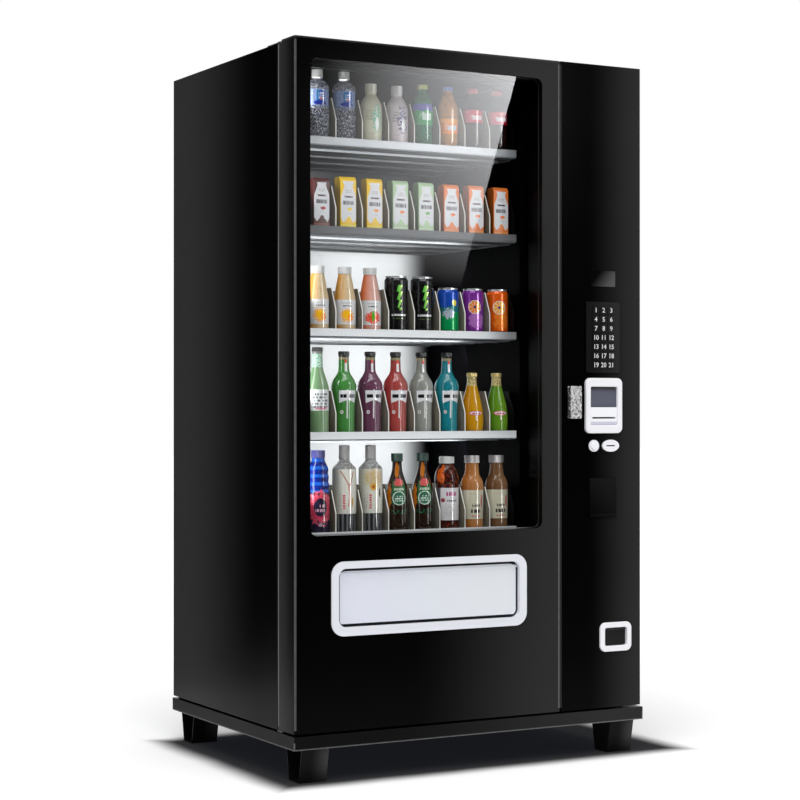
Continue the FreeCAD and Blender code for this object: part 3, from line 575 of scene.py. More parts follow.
softbox = quad("softbox_card", [mirrored_eye + (c - mirrored_eye) * reach for c in corners], w.owner)
mirror_only(softbox)


# ---- delivery hatch -----------------------------------------------------------------
# An off-white surround and its swinging flap, injection moulded in glossy plastic. The sleeve
# of the surround passes through the door, and the flap hangs in it from its top edge.
w = new_finish("hatch_plastic")
x, y, z = w.place()
# Painted shade: the surround is dark grey where it runs back into the door behind the flap's face.
sleeve_painted_shade = (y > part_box("delivery_flap")[0].y + 0.001).rise(0.0, 1.0)
cloud = w.noise(4.0, 2.0)
dress(w.shade(w.over(w.over(tint(232, 234, 240), cloud, tint(226, 228, 236)), sleeve_painted_shade, tint(86, 88, 100)),
              Roughness=0.22 + 0.06 * cloud, Normal=w.relief(w.noise(500.0) * 0.000005)), "hatch_bezel")
w = new_finish("flap_plastic")
x, y, z = w.place()
cloud = w.noise(3.0, 2.0)
flap_low, flap_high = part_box("delivery_flap")
# Painted shade: a dark border along the flap's left, right and bottom edges stands for the shadow in the
# gap.
rim = (x < flap_low.x + 0.0110) | (x > flap_high.x - 0.003) | (z < flap_low.z + 0.0035)
pane = w.over(tint(224, 227, 238), x.rise(-0.40, 0.10), tint(228, 232, 236))
dress(w.shade(w.over(w.over(pane, 0.3 * cloud, tint(220, 224, 234)), rim, tint(20, 20, 26)),
              Roughness=0.26 + 0.06 * cloud, Normal=w.relief(w.noise(400.0) * 0.000005)),
      "delivery_flap")


# ---- control door units -------------------------------------------------------------
# Moulded units clipped into the door from behind: smoked display, black keypad, white note
# unit, coin slot and cup, and a dark window for a card reader; the lock is plated metal.
lens_low, lens_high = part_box("display_lens")
w = new_finish("display_smoke")
x, y, z = w.place()
# Painted reflection: a slanted light grey patch over the right of the smoked lens, lighter still along
# its right edge and foot.
slant = x - 0.8 * (z - lens_low.z)
lens_painted_reflection = slant.rise(lens_low.x - 0.006, lens_high.x - 0.018) * 0.85
rim = (x > lens_high.x - 0.004) | (z < lens_low.z + 0.0035)
face = w.over(w.over(tint(6, 6, 7), lens_painted_reflection, tint(92, 92, 92)), rim * lens_painted_reflection, tint(128, 128, 128))
dress(w.shade(face, Roughness=0.16 + 0.05 * w.noise(20.0), Specular_IOR_Level=0.2), "display_lens")

card_low, card_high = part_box("card_reader_window")
w = new_finish("card_smoke")
x, y, z = w.place()
# Painted reflection: the smoked window lightens towards its upper right, and its foot is a lighter line.
face = w.over(tint(4, 4, 4), (x + z).rise(card_low.x + card_low.z, card_high.x + card_high.z),
              tint(26, 26, 26))
dress(w.shade(w.over(face, z < card_low.z + 0.003, tint(34, 34, 34)),
              Roughness=0.2 + 0.05 * w.noise(20.0), Specular_IOR_Level=0.2), "card_reader_window")

plate_low, plate_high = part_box("keypad_plate")
w = new_finish("keypad_plastic")
x, y, z = w.place()
grain = w.noise(300.0, 3.0)
# Painted sheen: the keypad plastic greys from its left edge to its right.
face = w.over(tint(12, 12, 13), x.rise(plate_low.x, plate_high.x), tint(42, 42, 43))
dress(w.shade(w.over(face, 0.3 * grain, tint(8, 8, 9)), Roughness=0.38 + 0.08 * grain,
              Specular_IOR_Level=0.2, Normal=w.relief(grain * 0.00003)),
      "keypad_plate", *[f"key_{n:02d}" for n in range(1, 22)])
dress(plain_finish("white_bezel", tint(246, 246, 250), 0.25, blobs=10.0, shift=0.03, bump=0.000005),
      "bill_bezel", "coin_slot_plate", "coin_return_button", "coin_cup")
bill_low, bill_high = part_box("bill_bezel")
w = new_finish("note_unit")
x, y, z = w.place()
mouth_top = bill_low.z + 0.47 * (bill_high.z - bill_low.z)
lip_top = bill_low.z + 0.21 * (bill_high.z - bill_low.z)
smoke = w.over(tint(98, 99, 114), (z - bill_high.z).rise(-0.040, -0.026), tint(62, 60, 66))
face = w.over(smoke, z < mouth_top, tint(248, 249, 253))
face = w.over(face, z < lip_top, tint(208, 206, 223))
dress(w.shade(face, Roughness=0.22 + 0.08 * w.noise(30.0), Normal=w.relief(w.noise(400.0) * 0.000005)),
      "bill_validator")
dress(plain_finish("cup_flap", tint(22, 22, 24), 0.3, blobs=30.0, shift=0.2, bump=0.00002), "coin_flap")
w = new_finish("satin_plate")
x, y, z = w.place()
hairs, pits = w.noise(60.0, 3.0, (20.0, 20.0, 1.0)), w.noise(160.0, 3.0)
# Painted shade: every face but the one toward the buyer is dark grey.
face_on = (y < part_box("lock_housing")[0].y + 0.002) + 0.0
plated = w.over(tint(70, 70, 70), face_on, w.over(tint(160, 160, 160), hairs, tint(232, 232, 232)))
plated = w.over(plated, pits > 0.58, tint(104, 104, 104))
plated = w.over(plated, pits < 0.40, tint(240, 240, 240))
dress(w.shade(plated, Roughness=0.34 + 0.2 * pits, Metallic=0.25, Normal=w.relief(pits * 0.0002)),
      "lock_housing", "lock_barrel")


# ---- cooling unit -------------------------------------------------------------------
# A black enamelled compressor and coil with a moulded fan, bolted to a base plate that stands
# in the foot of the cabinet.
dress(plain_finish("enamel", tint(34, 35, 38), 0.35, 0.1, 18.0, 0.2, 0.00004), "cooling_unit")
dress(plain_finish("fan_plastic", tint(26, 26, 28), 0.45, bump=0.00004), "condenser_fan")


# ---- keypad legends -----------------------------------------------------------------
# Each key cap carries its selection number, pad printed in white on the black plastic. A legend
# rides its own key, so it is pressed in with it.
legend_ink = plain_finish("legend_ink", tint(226, 226, 228), 0.5, blobs=900.0, shift=0.10)
for n in range(1, 22):
    key_low, key_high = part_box(f"key_{n:02d}")
    text = bpy.data.curves.new("legend", "FONT")
    text.body, text.size, text.extrude, text.offset = str(n), 0.0185, 0.0001, 0.0002
    text.align_x, text.align_y = "CENTER", "CENTER"
    text.resolution_u = 2
    drawn = bpy.data.objects.new("legend", text)
    bpy.context.scene.collection.objects.link(drawn)
    bpy.context.view_layer.update()
    mesh = bpy.data.meshes.new_from_object(drawn.evaluated_get(bpy.context.evaluated_depsgraph_get()))
    bpy.data.objects.remove(drawn)
    flat = np.empty(len(mesh.vertices) * 3)
    mesh.vertices.foreach_get("co", flat)
    flat = flat.reshape(-1, 3)
    raised = np.stack([flat[:, 0] + (key_low.x + key_high.x) / 2, key_low.y - 0.00005 - flat[:, 2],
                       flat[:, 1] + (key_low.z + key_high.z) / 2], axis=1)
    mesh.vertices.foreach_set("co", raised.reshape(-1))
    mesh.materials.clear()
    mesh.materials.append(legend_ink)
    legend = bpy.data.objects.new(f"key_legend_{n:02d}", mesh)
    bpy.context.scene.collection.objects.link(legend)
    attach(legend, f"key_{n:02d}")


# ---- stock: turned bottles and cans -------------------------------------------------
# One item stands at the front of each lane. Bottles are blown plastic or glass with printed
# sleeves and screwed caps, and cans are drawn aluminium. All prints are invented and wordless.
def soften(points, rounds=2):
    """Corner cutting: in each round every side keeps only its middle half, and the ends stay.
    A corner that is given twice stays crisp."""
    for _ in range(rounds):
        a, b = points[:-1], points[1:]
        cut = np.stack([0.75 * a + 0.25 * b, 0.25 * a + 0.75 * b], axis=1).reshape(-1, 2)
        points = np.concatenate([points[:1], cut, points[-1:]])
    return points


def along(points, spacing):
    """The same line with extra points, no two further apart than the spacing."""
    run = np.concatenate([[0.0], np.cumsum(np.hypot(*np.diff(points, axis=0).T))])
    places = np.unique(np.concatenate([run, np.arange(0.0, run[-1], spacing)]).round(7))
    return np.stack([np.interp(places, run, points[:, k]) for k in (0, 1)], axis=1)


def weld(piece, crease=35.0):
    """Closes the poles of a turned shape and marks its creases sharp."""
    edit = bmesh.new()
    edit.from_mesh(piece.data)
    bmesh.ops.remove_doubles(edit, verts=edit.verts, dist=1e-6)
    edit.to_mesh(piece.data)
    edit.free()
    piece.data.set_sharp_from_angle(angle=math.radians(crease))


lane_left = tray_low.x
lane_pitch = 0.080
stock_y = -0.248


def turned(name, row, lane, shift, outline, finishes, cap_from=9.0, foot_to=-1.0,
           ribs=None, lobes=0.0, fat=1.0):
    """A shape turned about its upright axis. The outline is (radius, height) in millimetres; rings
    add depth * cos(2 pi h / pitch) to the radius between two heights, and lobes pinch the foot into
    five toes. Wrap is (angle, height): the angle's 0.5 faces the buyer. Finishes are body, cap, foot."""
    line = along(soften(np.array(outline, float) / 1000 * np.array([fat, 1.0])), 0.0025)
    radius, height = line.T
    if ribs:
        low, high, pitch, depth = np.array(ribs) / 1000
        inside = np.clip((height - low) / pitch, 0, 1) * np.clip((high - height) / pitch, 0, 1)
        radius = radius + depth * np.cos(2 * np.pi * (height - low) / pitch) * inside
    phi = np.linspace(-math.pi, math.pi, 49)
    near_foot = np.clip(1.0 - height / 0.020, 0, 1)[:, None]
    toes = 1.0 - lobes * (0.5 + 0.5 * np.cos(5 * phi))[None, :] * near_foot
    reach = radius[:, None] * toes
    room = lane_pitch / 2 - 0.0035 - radius.max()
    middle = lane_left + lane_pitch * (lane - 0.5) + min(shift / 1000, room)
    grid = np.stack([middle + reach * np.sin(phi), stock_y - reach * np.cos(phi),
                     np.broadcast_to(belt_level[row - 1] + height[:, None], reach.shape)], axis=-1)
    wrap = np.stack(np.broadcast_arrays(phi[None, :] / (2 * math.pi) + 0.5, height[:, None]), axis=-1)
    middle_height = (height[:-1] + height[1:]) / 2
    zone = np.where(middle_height > cap_from / 1000, 1, np.where(middle_height < foot_to / 1000, 2, 0))
    piece = sheet_mesh(name, grid[:, :-1], finishes, around=True, wrap=wrap, zone=zone)
    weld(piece)
    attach(piece, "cabinet")
    stock.append(piece)
    return piece


stock = []
label_turn = 0.5 - 17.5 / 360  # the labels face the eye, which stands to the left


class Print:
    """A sleeve's artwork: s is the arc from its middle and h the height, both in millimetres."""

    def __init__(self, name, radius):
        self.w = new_finish(name)
        spot = self.w.make("ShaderNodeSeparateXYZ",
                           inputs={0: self.w.make("ShaderNodeUVMap", {"uv_map": "wrap"})})
        self.turn, self.h = spot, spot.out("Y") * 1000.0
        self.s = (spot - label_turn) * (2 * math.pi * radius)
        self.seed = float(sum(map(ord, name)) % 97)

    def band(self, low, high):
        return (self.h > low) & (self.h < high)

    def patch(self, left, right, low, high):
        return (self.s > left) & (self.s < right) & self.band(low, high)

    def spot(self, s, h, wide, tall):
        """1 inside an ellipse."""
        across, up = (self.s - s) / wide, (self.h - h) / tall
        return across * across + up * up < 1.0

    def mottle(self, size, detail=2.0, seed=0.0, tall=1.0):
        point = self.w.make("ShaderNodeCombineXYZ", {}, {0: self.s / size, 1: self.h / (size * tall),
                                                         2: self.seed + seed})
        return self.w.noise(1.0, detail, vector=point)

    def lines(self, left, right, low, high, rows, length=2.4, share=0.48):
        """Rows of unreadable small print: dashes of random length."""
        step = (high - low) / rows
        row = (self.h - low) / step
        point = self.w.make("ShaderNodeCombineXYZ", {},
                            {0: self.s / length, 1: row.whole() * 7.3, 2: self.seed})
        dash = self.w.noise(1.0, 1.0, vector=point) > share + 0.04
        ragged = row.part() < 0.35 + 0.6 * self.mottle(1.3, 1.0)
        return dash & ragged & self.patch(left, right, low, high)

    def splash(self, s, h, wide, tall, grain=7.0, rough=0.9):
        """An ellipse with a ragged edge."""
        across, up = (self.s - s) / wide, (self.h - h) / tall
        return across * across + up * up + rough * (self.mottle(grain, 3.0) - 0.5) * 5.0 < 1.0

    def layer(self, below, *layers):
        """Colours laid over each other in turn, each where its mask is 1."""
        for mask, colour in layers:
            below = self.w.over(below, mask, colour)
        return below

    def done(self, colour, rough=0.22, alpha=1.0, **more):
        return self.w.shade(colour, Roughness=rough * 0.8 + 0.04 * self.mottle(9.0), Alpha=alpha, **more)


def cap_finish(name, colour, knurls=60, depth=0.00035, **more):
    """A moulded screw cap with fine upright grips."""
    p = Print(name, 0.0)
    grips = (p.turn * (2 * math.pi * knurls)).wave()
    tone = p.w.over(tuple(c * 0.82 for c in colour[:3]) + (1.0,), grips * 0.5 + 0.5, colour)
    return p.w.shade(tone, Roughness=0.35 + 0.1 * p.mottle(5.0), Normal=p.w.relief(grips * depth), **more)


white_cap = cap_finish("white_cap", tint(226, 226, 226))
black_cap = cap_finish("crown_cap", tint(34, 33, 34), 21)
silver_cap = cap_finish("silver_cap", tint(170, 166, 166), 40, Metallic=0.5)
can_end = brushed("can_end", tint(196, 198, 202), 0.3, 0.8)

# Row 1: still water, two yoghurt drinks and four sodas.
p = Print("water_sleeve", 32.5)
sleeve = p.band(90, 134)
badge = p.patch(-7, 18, 92, 130)
art = p.layer(tint(112, 132, 176),
              (p.mottle(3.5) > 0.56, tint(160, 174, 206)),
              (badge, p.w.over(tint(40, 120, 170), p.s.rise(-7, 12), tint(40, 84, 184))),
              (p.splash(3, 97, 20, 6, 6.0, 0.5), tint(28, 48, 150)),
              (p.lines(-1, 14, 109, 126, 3, 1.6, 0.42) & (p.mottle(2.0) > 0.35), tint(226, 234, 248)),
              (p.spot(6, 108, 5, 3), tint(206, 120, 128)))
# Painted highlights: pale and white upright streaks on the clear body.
clear = p.layer(tint(84, 87, 100), (p.mottle(4.5, 3.0, tall=3.0) > 0.52, tint(146, 150, 166)),
                (p.mottle(2.6, 3.0, 3.0, 2.4) > 0.57, tint(236, 238, 246)))
water_body = p.done(p.w.over(clear, sleeve, art), 0.10, 0.52 + 0.48 * sleeve)
water_line = [(0, 0), (27, 0), (31, 3), (32.5, 8), (32.5, 88), (31, 90), (31, 90), (31, 134), (32, 136),
              (31, 145), (24, 156), (14, 163), (13, 166), (13, 168), (13, 168), (14.8, 168), (14.8, 168),
              (14.8, 188), (14.8, 188), (0, 188)]
for lane in (1, 2):
    turned(f"water_bottle_{lane}", 1, lane, 6, water_line, [water_body, white_cap], 167.5,
           ribs=(8, 86, 11.5, 1.3))


def yoghurt(name, base, dark, mark):
    p = Print(name, 27.0)
    swirl = p.splash(11, 66, 12, 36, 5.0, 1.5)
    art = p.layer(base, (p.lines(-16, -1, 62, 92, 4, 2.2, 0.46), dark),
                  (p.lines(-12, 2, 24, 29, 1, 1.2), dark),
                  (swirl & (p.mottle(4.0, 2.0, 5.0) > 0.47), mark),
                  (p.splash(12, 52, 5, 16, 3.0, 0.9), tint(240, 240, 240)))
    return p.done(art, 0.42, Specular_IOR_Level=0.2)


yoghurt_line = [(0, 0), (21, 0), (25.5, 2), (27, 9), (27, 84), (25.5, 104), (20, 120), (13.5, 131),
                (12.5, 136), (12.5, 140), (12.5, 140), (14, 140), (14, 140), (14, 162), (14, 162),
                (0, 162)]
mint = yoghurt("yoghurt_mint", tint(206, 203, 180), tint(150, 148, 128), tint(96, 186, 166))
turned("yoghurt_bottle_1", 1, 3, 5, yoghurt_line,
       [mint, cap_finish("cream_cap", tint(204, 202, 182), 2)], 139.5, fat=1.14)
berry = yoghurt("yoghurt_berry", tint(210, 200, 202), tint(140, 134, 142), tint(58, 54, 122))
turned("yoghurt_bottle_2", 1, 4, 5, yoghurt_line,
       [berry, cap_finish("blush_cap", tint(206, 200, 204), 2)], 139.5, fat=1.14)


def soda(name, radius, liquid, label_low, label_high, label, stripe, mark, alpha=0.85):
    """A clear bottle of coloured drink with one printed band."""
    p = Print(name, radius)
    sleeve = p.band(label_low, label_high)
    deep = tuple(c * 0.55 for c in liquid[:3]) + (1.0,)
    body = p.layer(liquid, (p.mottle(9.0, 3.0) > 0.55, deep))
    middle, half = (label_low + label_high) / 2, (label_high - label_low) / 2
    top = p.h > label_high - 0.32 * 2 * half + 2.0 * (p.s / 4.0).wave()
    art = p.layer(label, (top, stripe),
                  (p.lines(-6, 22, middle - 0.55 * half, middle + 0.45 * half, 1, 3.4, 0.40), mark),
                  (p.lines(-14, -2, middle - 0.4 * half, middle + 0.3 * half, 3), mark))
    return p.done(p.w.over(body, sleeve, art), 0.12, alpha + (1.0 - alpha) * sleeve)


soda_line = [(0, 0), (19, 0), (25, 3), (28, 14), (27.5, 50), (28.5, 70), (28.5, 108), (27, 122),
             (20, 140), (13.5, 152), (12.5, 158), (12.5, 160), (12.5, 160), (14, 160), (14, 160),
             (14, 172), (14, 172), (0, 172)]
citrus = soda("citrus_soda", 28.0, tint(34, 122, 84), 60, 118, tint(44, 160, 92), tint(92, 92, 176),
              tint(224, 240, 232))
turned("soda_bottle_1", 1, 5, 6, soda_line,
       [citrus, cap_finish("lime_cap", tint(206, 212, 110))], 159.5, lobes=0.25)
orange = soda("orange_soda", 28.0, tint(196, 138, 78), 41, 82, tint(246, 146, 52), tint(248, 168, 84),
              tint(226, 226, 244), 1.0)
turned("soda_bottle_2", 1, 6, 6, soda_line,
       [orange, cap_finish("blue_cap", tint(70, 120, 196))], 159.5, lobes=0.25)
cola = soda("dark_soda", 28.0, tint(46, 22, 22), 77, 112, tint(206, 34, 66), tint(206, 34, 66),
            tint(240, 226, 230))
for lane in (7, 8):
    turned(f"soda_bottle_{lane - 4}", 1, lane, 6, soda_line,
           [cola, cap_finish(f"red_cap_{lane}", tint(214, 44, 74))], 159.5, lobes=0.25)


# ---- stock: cartons -----------------------------------------------------------------
# Folded drink cartons of coated board, with a bevelled band at the top of the front and a
# white bottle shape printed on the face over a ragged splash.
carton_face_y = -0.275


def carton(name, lane, tall, base, splash, fruit):
    """Rounded rectangles stacked up the height. A level is its share of the width, its share of
    the depth and its height in metres."""
    p = Print(name, 1000.0 / (2 * math.pi))
    p.s = (p.turn - 0.5) * 1000.0
    face = (abs(p.s) < 24.0).clip()
    bottle_half = 13.0 + 9.5 * (1.0 - p.h.rise(84, 116)) + 4.0 * p.h.rise(119, 127)
    ragged = 27.0 + 8.0 * (p.s / 4.6 + 1.4).wave() + 16.0 * (p.mottle(5.0) - 0.5)
    bottle = (abs(p.s) < bottle_half) & (p.h < tall - 12.0) & (p.h > ragged) & face
    shade_left = 1.0 - (p.s > -24.0)
    art = p.layer(base, (shade_left, tuple(c * 0.42 for c in base[:3]) + (1.0,)),
                  (bottle, tint(214, 214, 219)),
                  ((p.h < 14.0) & face, splash),
                  (p.lines(-12, 12, 85, 92, 1, 2.4, 0.34) & bottle, tint(84, 62, 64)),
                  (p.lines(-17, 16, 66, 82, 1, 2.0, 0.40) & bottle, tint(104, 98, 106)),
                  (p.lines(-9, 9, 98, 108, 2, 2.0, 0.44) & bottle, tint(176, 170, 172)),
                  (p.splash(4, 54, 7.5, 4.4, 5.0, 0.3) & bottle, fruit),
                  (p.lines(-4, 10, 40, 46, 2, 1.4) & bottle, tint(176, 176, 182)))
    finish = p.done(art, 0.50, Specular_IOR_Level=0.15)
    wide, deep, corner = 0.0485, 0.038, 0.003
    levels = np.array([(0.0, 0.0, 0.0), (0.94, 0.92, 0.0), (1.0, 1.0, 0.0015), (1.0, 1.0, 0.03),
                       (1.0, 1.0, 0.06), (1.0, 1.0, 0.09), (1.0, 1.0, tall / 1000 - 0.008),
                       (0.97, 0.80, tall / 1000 - 0.0006), (0.94, 0.76, tall / 1000),
                       (0.0, 0.0, tall / 1000)])
    loop, _ = rounded_loop(-wide / 2, wide / 2, -deep / 2, deep / 2, corner, 4)
    loop = loop[::-1]
    middle = lane_left + lane_pitch * (lane - 0.5) + 0.003
    front = carton_face_y + deep / 2
    x = middle + levels[:, 0, None] * loop[None, :, 0]
    y = front + levels[:, 1, None] * loop[None, :, 1] + (1.0 - levels[:, 1, None]) * 0.2 * deep
    grid = np.stack([x, y, np.broadcast_to(belt_level[1] + levels[:, 2, None], x.shape)],
                    axis=-1)[:, ::-1]
    flat_s = np.where(grid[..., 1] < grid[..., 1].mean(), grid[..., 0] - middle,
                      np.sign(grid[..., 0] - middle) * wide)
    wrap = np.stack([flat_s + 0.5, np.broadcast_to(levels[:, 2, None], x.shape)], axis=-1)
    wrap = np.concatenate([wrap, wrap[:, :1]], axis=1)
    piece = sheet_mesh(name, grid, [finish], around=True, wrap=wrap)
    weld(piece, 25.0)
    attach(piece, "cabinet")
    stock.append(piece)


lemon = (tint(240, 196, 34), tint(252, 226, 80))
leaf = (tint(176, 204, 164), tint(214, 232, 204))
tangerine = (tint(232, 124, 54), tint(246, 150, 84), tint(236, 120, 60))
cartons = ((134, tint(88, 44, 44), tint(140, 84, 70), tint(170, 44, 52)),
           (141, *lemon, tint(230, 200, 70)), (140, *lemon, tint(236, 150, 70)),
           (139, *leaf, tint(236, 140, 84)), (138, *leaf, tint(120, 170, 90)),
           (137, *tangerine), (138, *tangerine), (137, *tangerine))
for lane, (tall, base, splash, fruit) in enumerate(cartons, 1):
    carton(f"drink_carton_{lane}", lane, tall, base, splash, fruit)


# ---- stock: juices and cans ---------------------------------------------------------
# Row 3: three juices in wide-mouthed bottles with paper labels, two tall and three short cans.
def juice(name, deep, pale, splashes):
    p = Print(name, 30.5)
    # Painted light: the juice is paler towards the right.
    liquid = p.w.over(deep, (p.s.rise(-34, 8) * 0.85 + 0.15 * p.mottle(12.0)).clip(), pale)
    fruit = [(p.splash(s, h, wide, tall, 4.0, 0.8), colour) for s, h, wide, tall, colour in splashes]
    art = p.layer(tint(216, 215, 217), *fruit, (p.lines(-10, 16, 66, 71, 1, 3.6, 0.40), tint(92, 92, 96)),
                  (p.lines(-12, 18, 74, 77, 1, 2.4, 0.45), tint(140, 140, 140)))
    body = p.layer(p.w.over(liquid, p.band(18, 84), art),
                   (p.lines(-2, 10, 112, 115, 1, 2.0, 0.4), tint(170, 140, 84)))
    return p.done(body, 0.16)


juice_line = [(0, 0), (27, 0), (30, 2), (30.5, 6), (30.5, 84), (30.2, 86), (18.2, 149), (17, 152),
              (17, 154), (17, 154), (18.5, 154), (18.5, 154), (18.5, 173), (18.5, 173), (0, 173)]
gold_juice = (tint(206, 138, 34), tint(206, 186, 152),
              [(2, 42, 18, 18, tint(244, 176, 96)), (3, 44, 13, 12, tint(250, 186, 24)),
               (12, 36, 8, 9, tint(248, 138, 30))])
coral_juice = (tint(222, 108, 44), tint(206, 168, 160),
               [(4, 38, 22, 16, tint(228, 78, 52)), (4, 42, 5, 14, tint(92, 168, 44))])
for lane, shift, drink in ((1, 4, gold_juice), (2, 5, gold_juice), (3, 2, coral_juice)):
    turned(f"juice_bottle_{lane}", 3, lane, shift, juice_line,
           [juice(f"juice_{lane}", *drink), white_cap], 153.5)


def can_line(radius, tall):
    """A drawn can: domed foot ring, straight wall, necked-in top with a seamed rim."""
    return [(0, 5), (17, 4), (20, 0), (22, 0), (radius, 9), (radius, 9), (radius, tall - 12),
            (radius, tall - 12), (radius - 4, tall - 4), (radius - 3.2, tall - 3), (radius - 3.2, tall),
            (radius - 4.6, tall), (radius - 4.8, tall - 4), (0, tall - 4)]


p = Print("tall_can", 27.5)
bolt_middle = 3.0 + 6.0 * ((p.h * (1.0 / 22.0)).part() - 0.5)
bolt = (abs(p.s - bolt_middle) < 5.0 - 0.045 * (124.0 - p.h)) & p.band(60, 128)
art = p.layer(tint(20, 20, 20), (p.mottle(5.0, 3.0) > 0.60, tint(36, 36, 36)),
              (bolt, p.w.over(tint(70, 190, 66), p.s.rise(-4, 8), tint(176, 232, 110))),
              (p.lines(-16, 20, 44, 52, 1, 3.2, 0.36), tint(214, 214, 214)),
              (p.lines(-12, 18, 36, 39, 1, 2.2, 0.48), tint(130, 158, 90)))
tall_can = p.done(art, 0.20, Metallic=0.15)
for lane, shift in ((4, 3), (5, 4)):
    turned(f"tall_can_{lane}", 3, lane, shift, can_line(27.5, 153), [tall_can, can_end, can_end], 147.0,
           6.0, fat=1.18)

p = Print("lime_can", 30.0)
wave = 74.0 + 3.0 * (p.s / 11.0).wave()
art = p.layer(tint(0, 148, 78), (p.s > 4.0 + 8.0 * (p.mottle(14.0) - 0.5), tint(30, 174, 96)),
              ((p.h > wave - 18.0), tint(34, 116, 110)), ((p.h > wave), tint(24, 74, 178)),
              (p.mottle(7.0, 3.0) > 0.60, tint(30, 98, 176)), ((p.h < wave - 18.0), tint(0, 150, 82)),
              (p.splash(-4, 54, 16, 13, 6.0, 0.9), tint(178, 190, 206)),
              (p.splash(13, 84, 7, 9, 5.0, 0.4), tint(238, 218, 92)))
lime_can = p.done(art, 0.18, Metallic=0.2)


def fruit_can(name, base, light, flesh, pip):
    """A can printed with one cut fruit: a rim, a pale pith and wedges about a middle."""
    p = Print(name, 30.0)
    across, up = (p.s + 1.0) / 19.0, (p.h - 74.0) / 19.0
    away = (across * across + up * up) ** 0.5
    wedge = (p.w.make("ShaderNodeMath", {"operation": "ARCTAN2"}, {0: up, 1: across}) * 4.0).wave()
    art = p.layer(base, (p.splash(6, 40, 24, 26, 16.0, 0.7), light), (away < 1.0, tint(240, 226, 222)),
                  (away < 0.90, flesh), ((away < 0.84) & (abs(wedge) < 0.30), tint(244, 232, 220)),
                  (away < 0.2, pip), (p.lines(-14, 14, 18, 24, 2, 1.6), light))
    return p.done(art, 0.18, Metallic=0.2)


grape_can = fruit_can("grape_can", tint(126, 48, 150), tint(176, 112, 190), tint(240, 134, 44),
                      tint(50, 44, 110))
orange_can = fruit_can("orange_can", tint(232, 96, 16), tint(244, 128, 40), tint(250, 170, 60),
                       tint(60, 60, 130))
for lane, shift, finish in ((6, 11, lime_can), (7, 7, grape_can), (8, 7, orange_can)):
    turned(f"short_can_{lane}", 3, lane, shift, can_line(30, 125), [finish, can_end, can_end], 119.0, 6.0)


# ---- stock: glass bottles -----------------------------------------------------------
# Row 4: one tall pressed bottle and five waisted bottles of coloured drink with crown caps,
# then two pear-shaped ones with gold foil.
def glass_drink(name, liquid, lighter, art, rough=0.10):
    p = Print(name, 28.0)
    # Painted light: the drink is lighter towards the right.
    body = p.w.over(liquid, (p.s.rise(-30, 30) * 0.7 + 0.3 * p.mottle(14.0, 3.0)).clip(), lighter)
    return p.done(p.layer(body, *art(p)), rough, Coat_Weight=0.6, Coat_Roughness=0.06)


def tall_art(p):
    return [(p.band(63, 119), tint(214, 216, 218)),
            (p.lines(-18, 24, 70, 112, 5, 3.4, 0.44), tint(96, 98, 104)),
            (p.lines(-8, 20, 66, 74, 1, 2.2, 0.4), tint(206, 96, 116)), (p.h > 178, tint(206, 222, 212)),
            ((p.h > 178) & (p.mottle(4.0, 3.0) > 0.50), tint(84, 156, 120)),
            (p.h > 214, tint(120, 122, 120))]


def ribbon_art(p):
    foot = 92.0 - 9.0 * (abs(p.s - 6.0) / 22.0)
    return [((abs(p.s - 6.0) < 22.0) & (p.h > foot) & (p.h < 117.0), tint(222, 222, 226)),
            (p.lines(-13, 2, 97, 112, 1, 4.6, 0.34), tint(30, 30, 36)),
            (p.lines(7, 26, 97, 112, 1, 4.6, 0.38), tint(60, 60, 68)),
            # Painted highlight: a narrow upright white streak right of the middle.
            (p.patch(2.5, 6.0, 42, 120), tint(224, 222, 222)),
            (p.spot(-10, 59, 4.4, 5.0), tint(214, 206, 206)),
            (p.spot(-10, 59, 2.0, 2.2), tint(120, 110, 110)),
            (p.patch(0, 14, 168, 192), tint(226, 224, 226)),
            (p.patch(0, 14, 190, 199), tint(222, 84, 74)), (p.h > 199, tint(150, 140, 110)),
            (p.h > 206, tint(52, 50, 48))]


def pear_art(p):
    return [(p.spot(5, 55, 19, 6.5), tint(196, 84, 96)), (p.spot(5, 55, 16, 4.6), tint(224, 208, 214)),
            (p.lines(-6, 16, 52, 58, 1, 2.4, 0.40), tint(186, 54, 76)),
            (p.patch(3, 7, 36, 52), tint(224, 214, 196)),
            (p.h > 131, p.w.over(tint(150, 134, 82), p.mottle(5.0) > 0.5, tint(214, 196, 140)))]


tall_line = [(0, 0), (24, 0), (28, 3), (28.5, 10), (28.5, 118), (27, 132), (20, 154), (14.5, 170),
             (13, 186), (12.5, 216), (12.5, 220), (12.5, 220), (13.8, 221), (13.8, 221), (13.2, 231),
             (12, 232), (0, 232)]
waisted_line = [(0, 0), (23, 0), (26.5, 3), (26.5, 12), (26, 45), (26.5, 70), (29, 100), (30.5, 122),
                (30, 134), (26, 145), (19, 156), (14, 166), (12.7, 176), (12.2, 208), (12.2, 210),
                (12.2, 210), (13.9, 211), (13.9, 211), (13.3, 221), (12, 222), (0, 222)]
pear_line = [(0, 0), (23, 0), (27, 3), (28.5, 16), (29, 34), (28, 58), (24, 84), (18.5, 108), (14, 126),
             (12, 138), (11.8, 154), (11.8, 156), (11.8, 156), (13.3, 157), (13.3, 157), (12.8, 166),
             (11.5, 167), (0, 167)]
gold_cap = cap_finish("gold_cap", tint(206, 184, 120), 21, Metallic=0.4)
turned("pressed_bottle_1", 4, 1, 3, tall_line,
       [glass_drink("pale_green_glass", tint(96, 132, 92), tint(136, 164, 126), tall_art), black_cap],
       220.5, fat=1.10)
waisted = (("green", tint(44, 118, 34), tint(88, 148, 84)),
           ("purple", tint(86, 38, 66), tint(116, 76, 98)),
           ("red", tint(156, 40, 40), tint(170, 90, 84)),
           ("clear", tint(122, 126, 118), tint(156, 156, 152)),
           ("teal", tint(0, 110, 124), tint(38, 134, 146)))
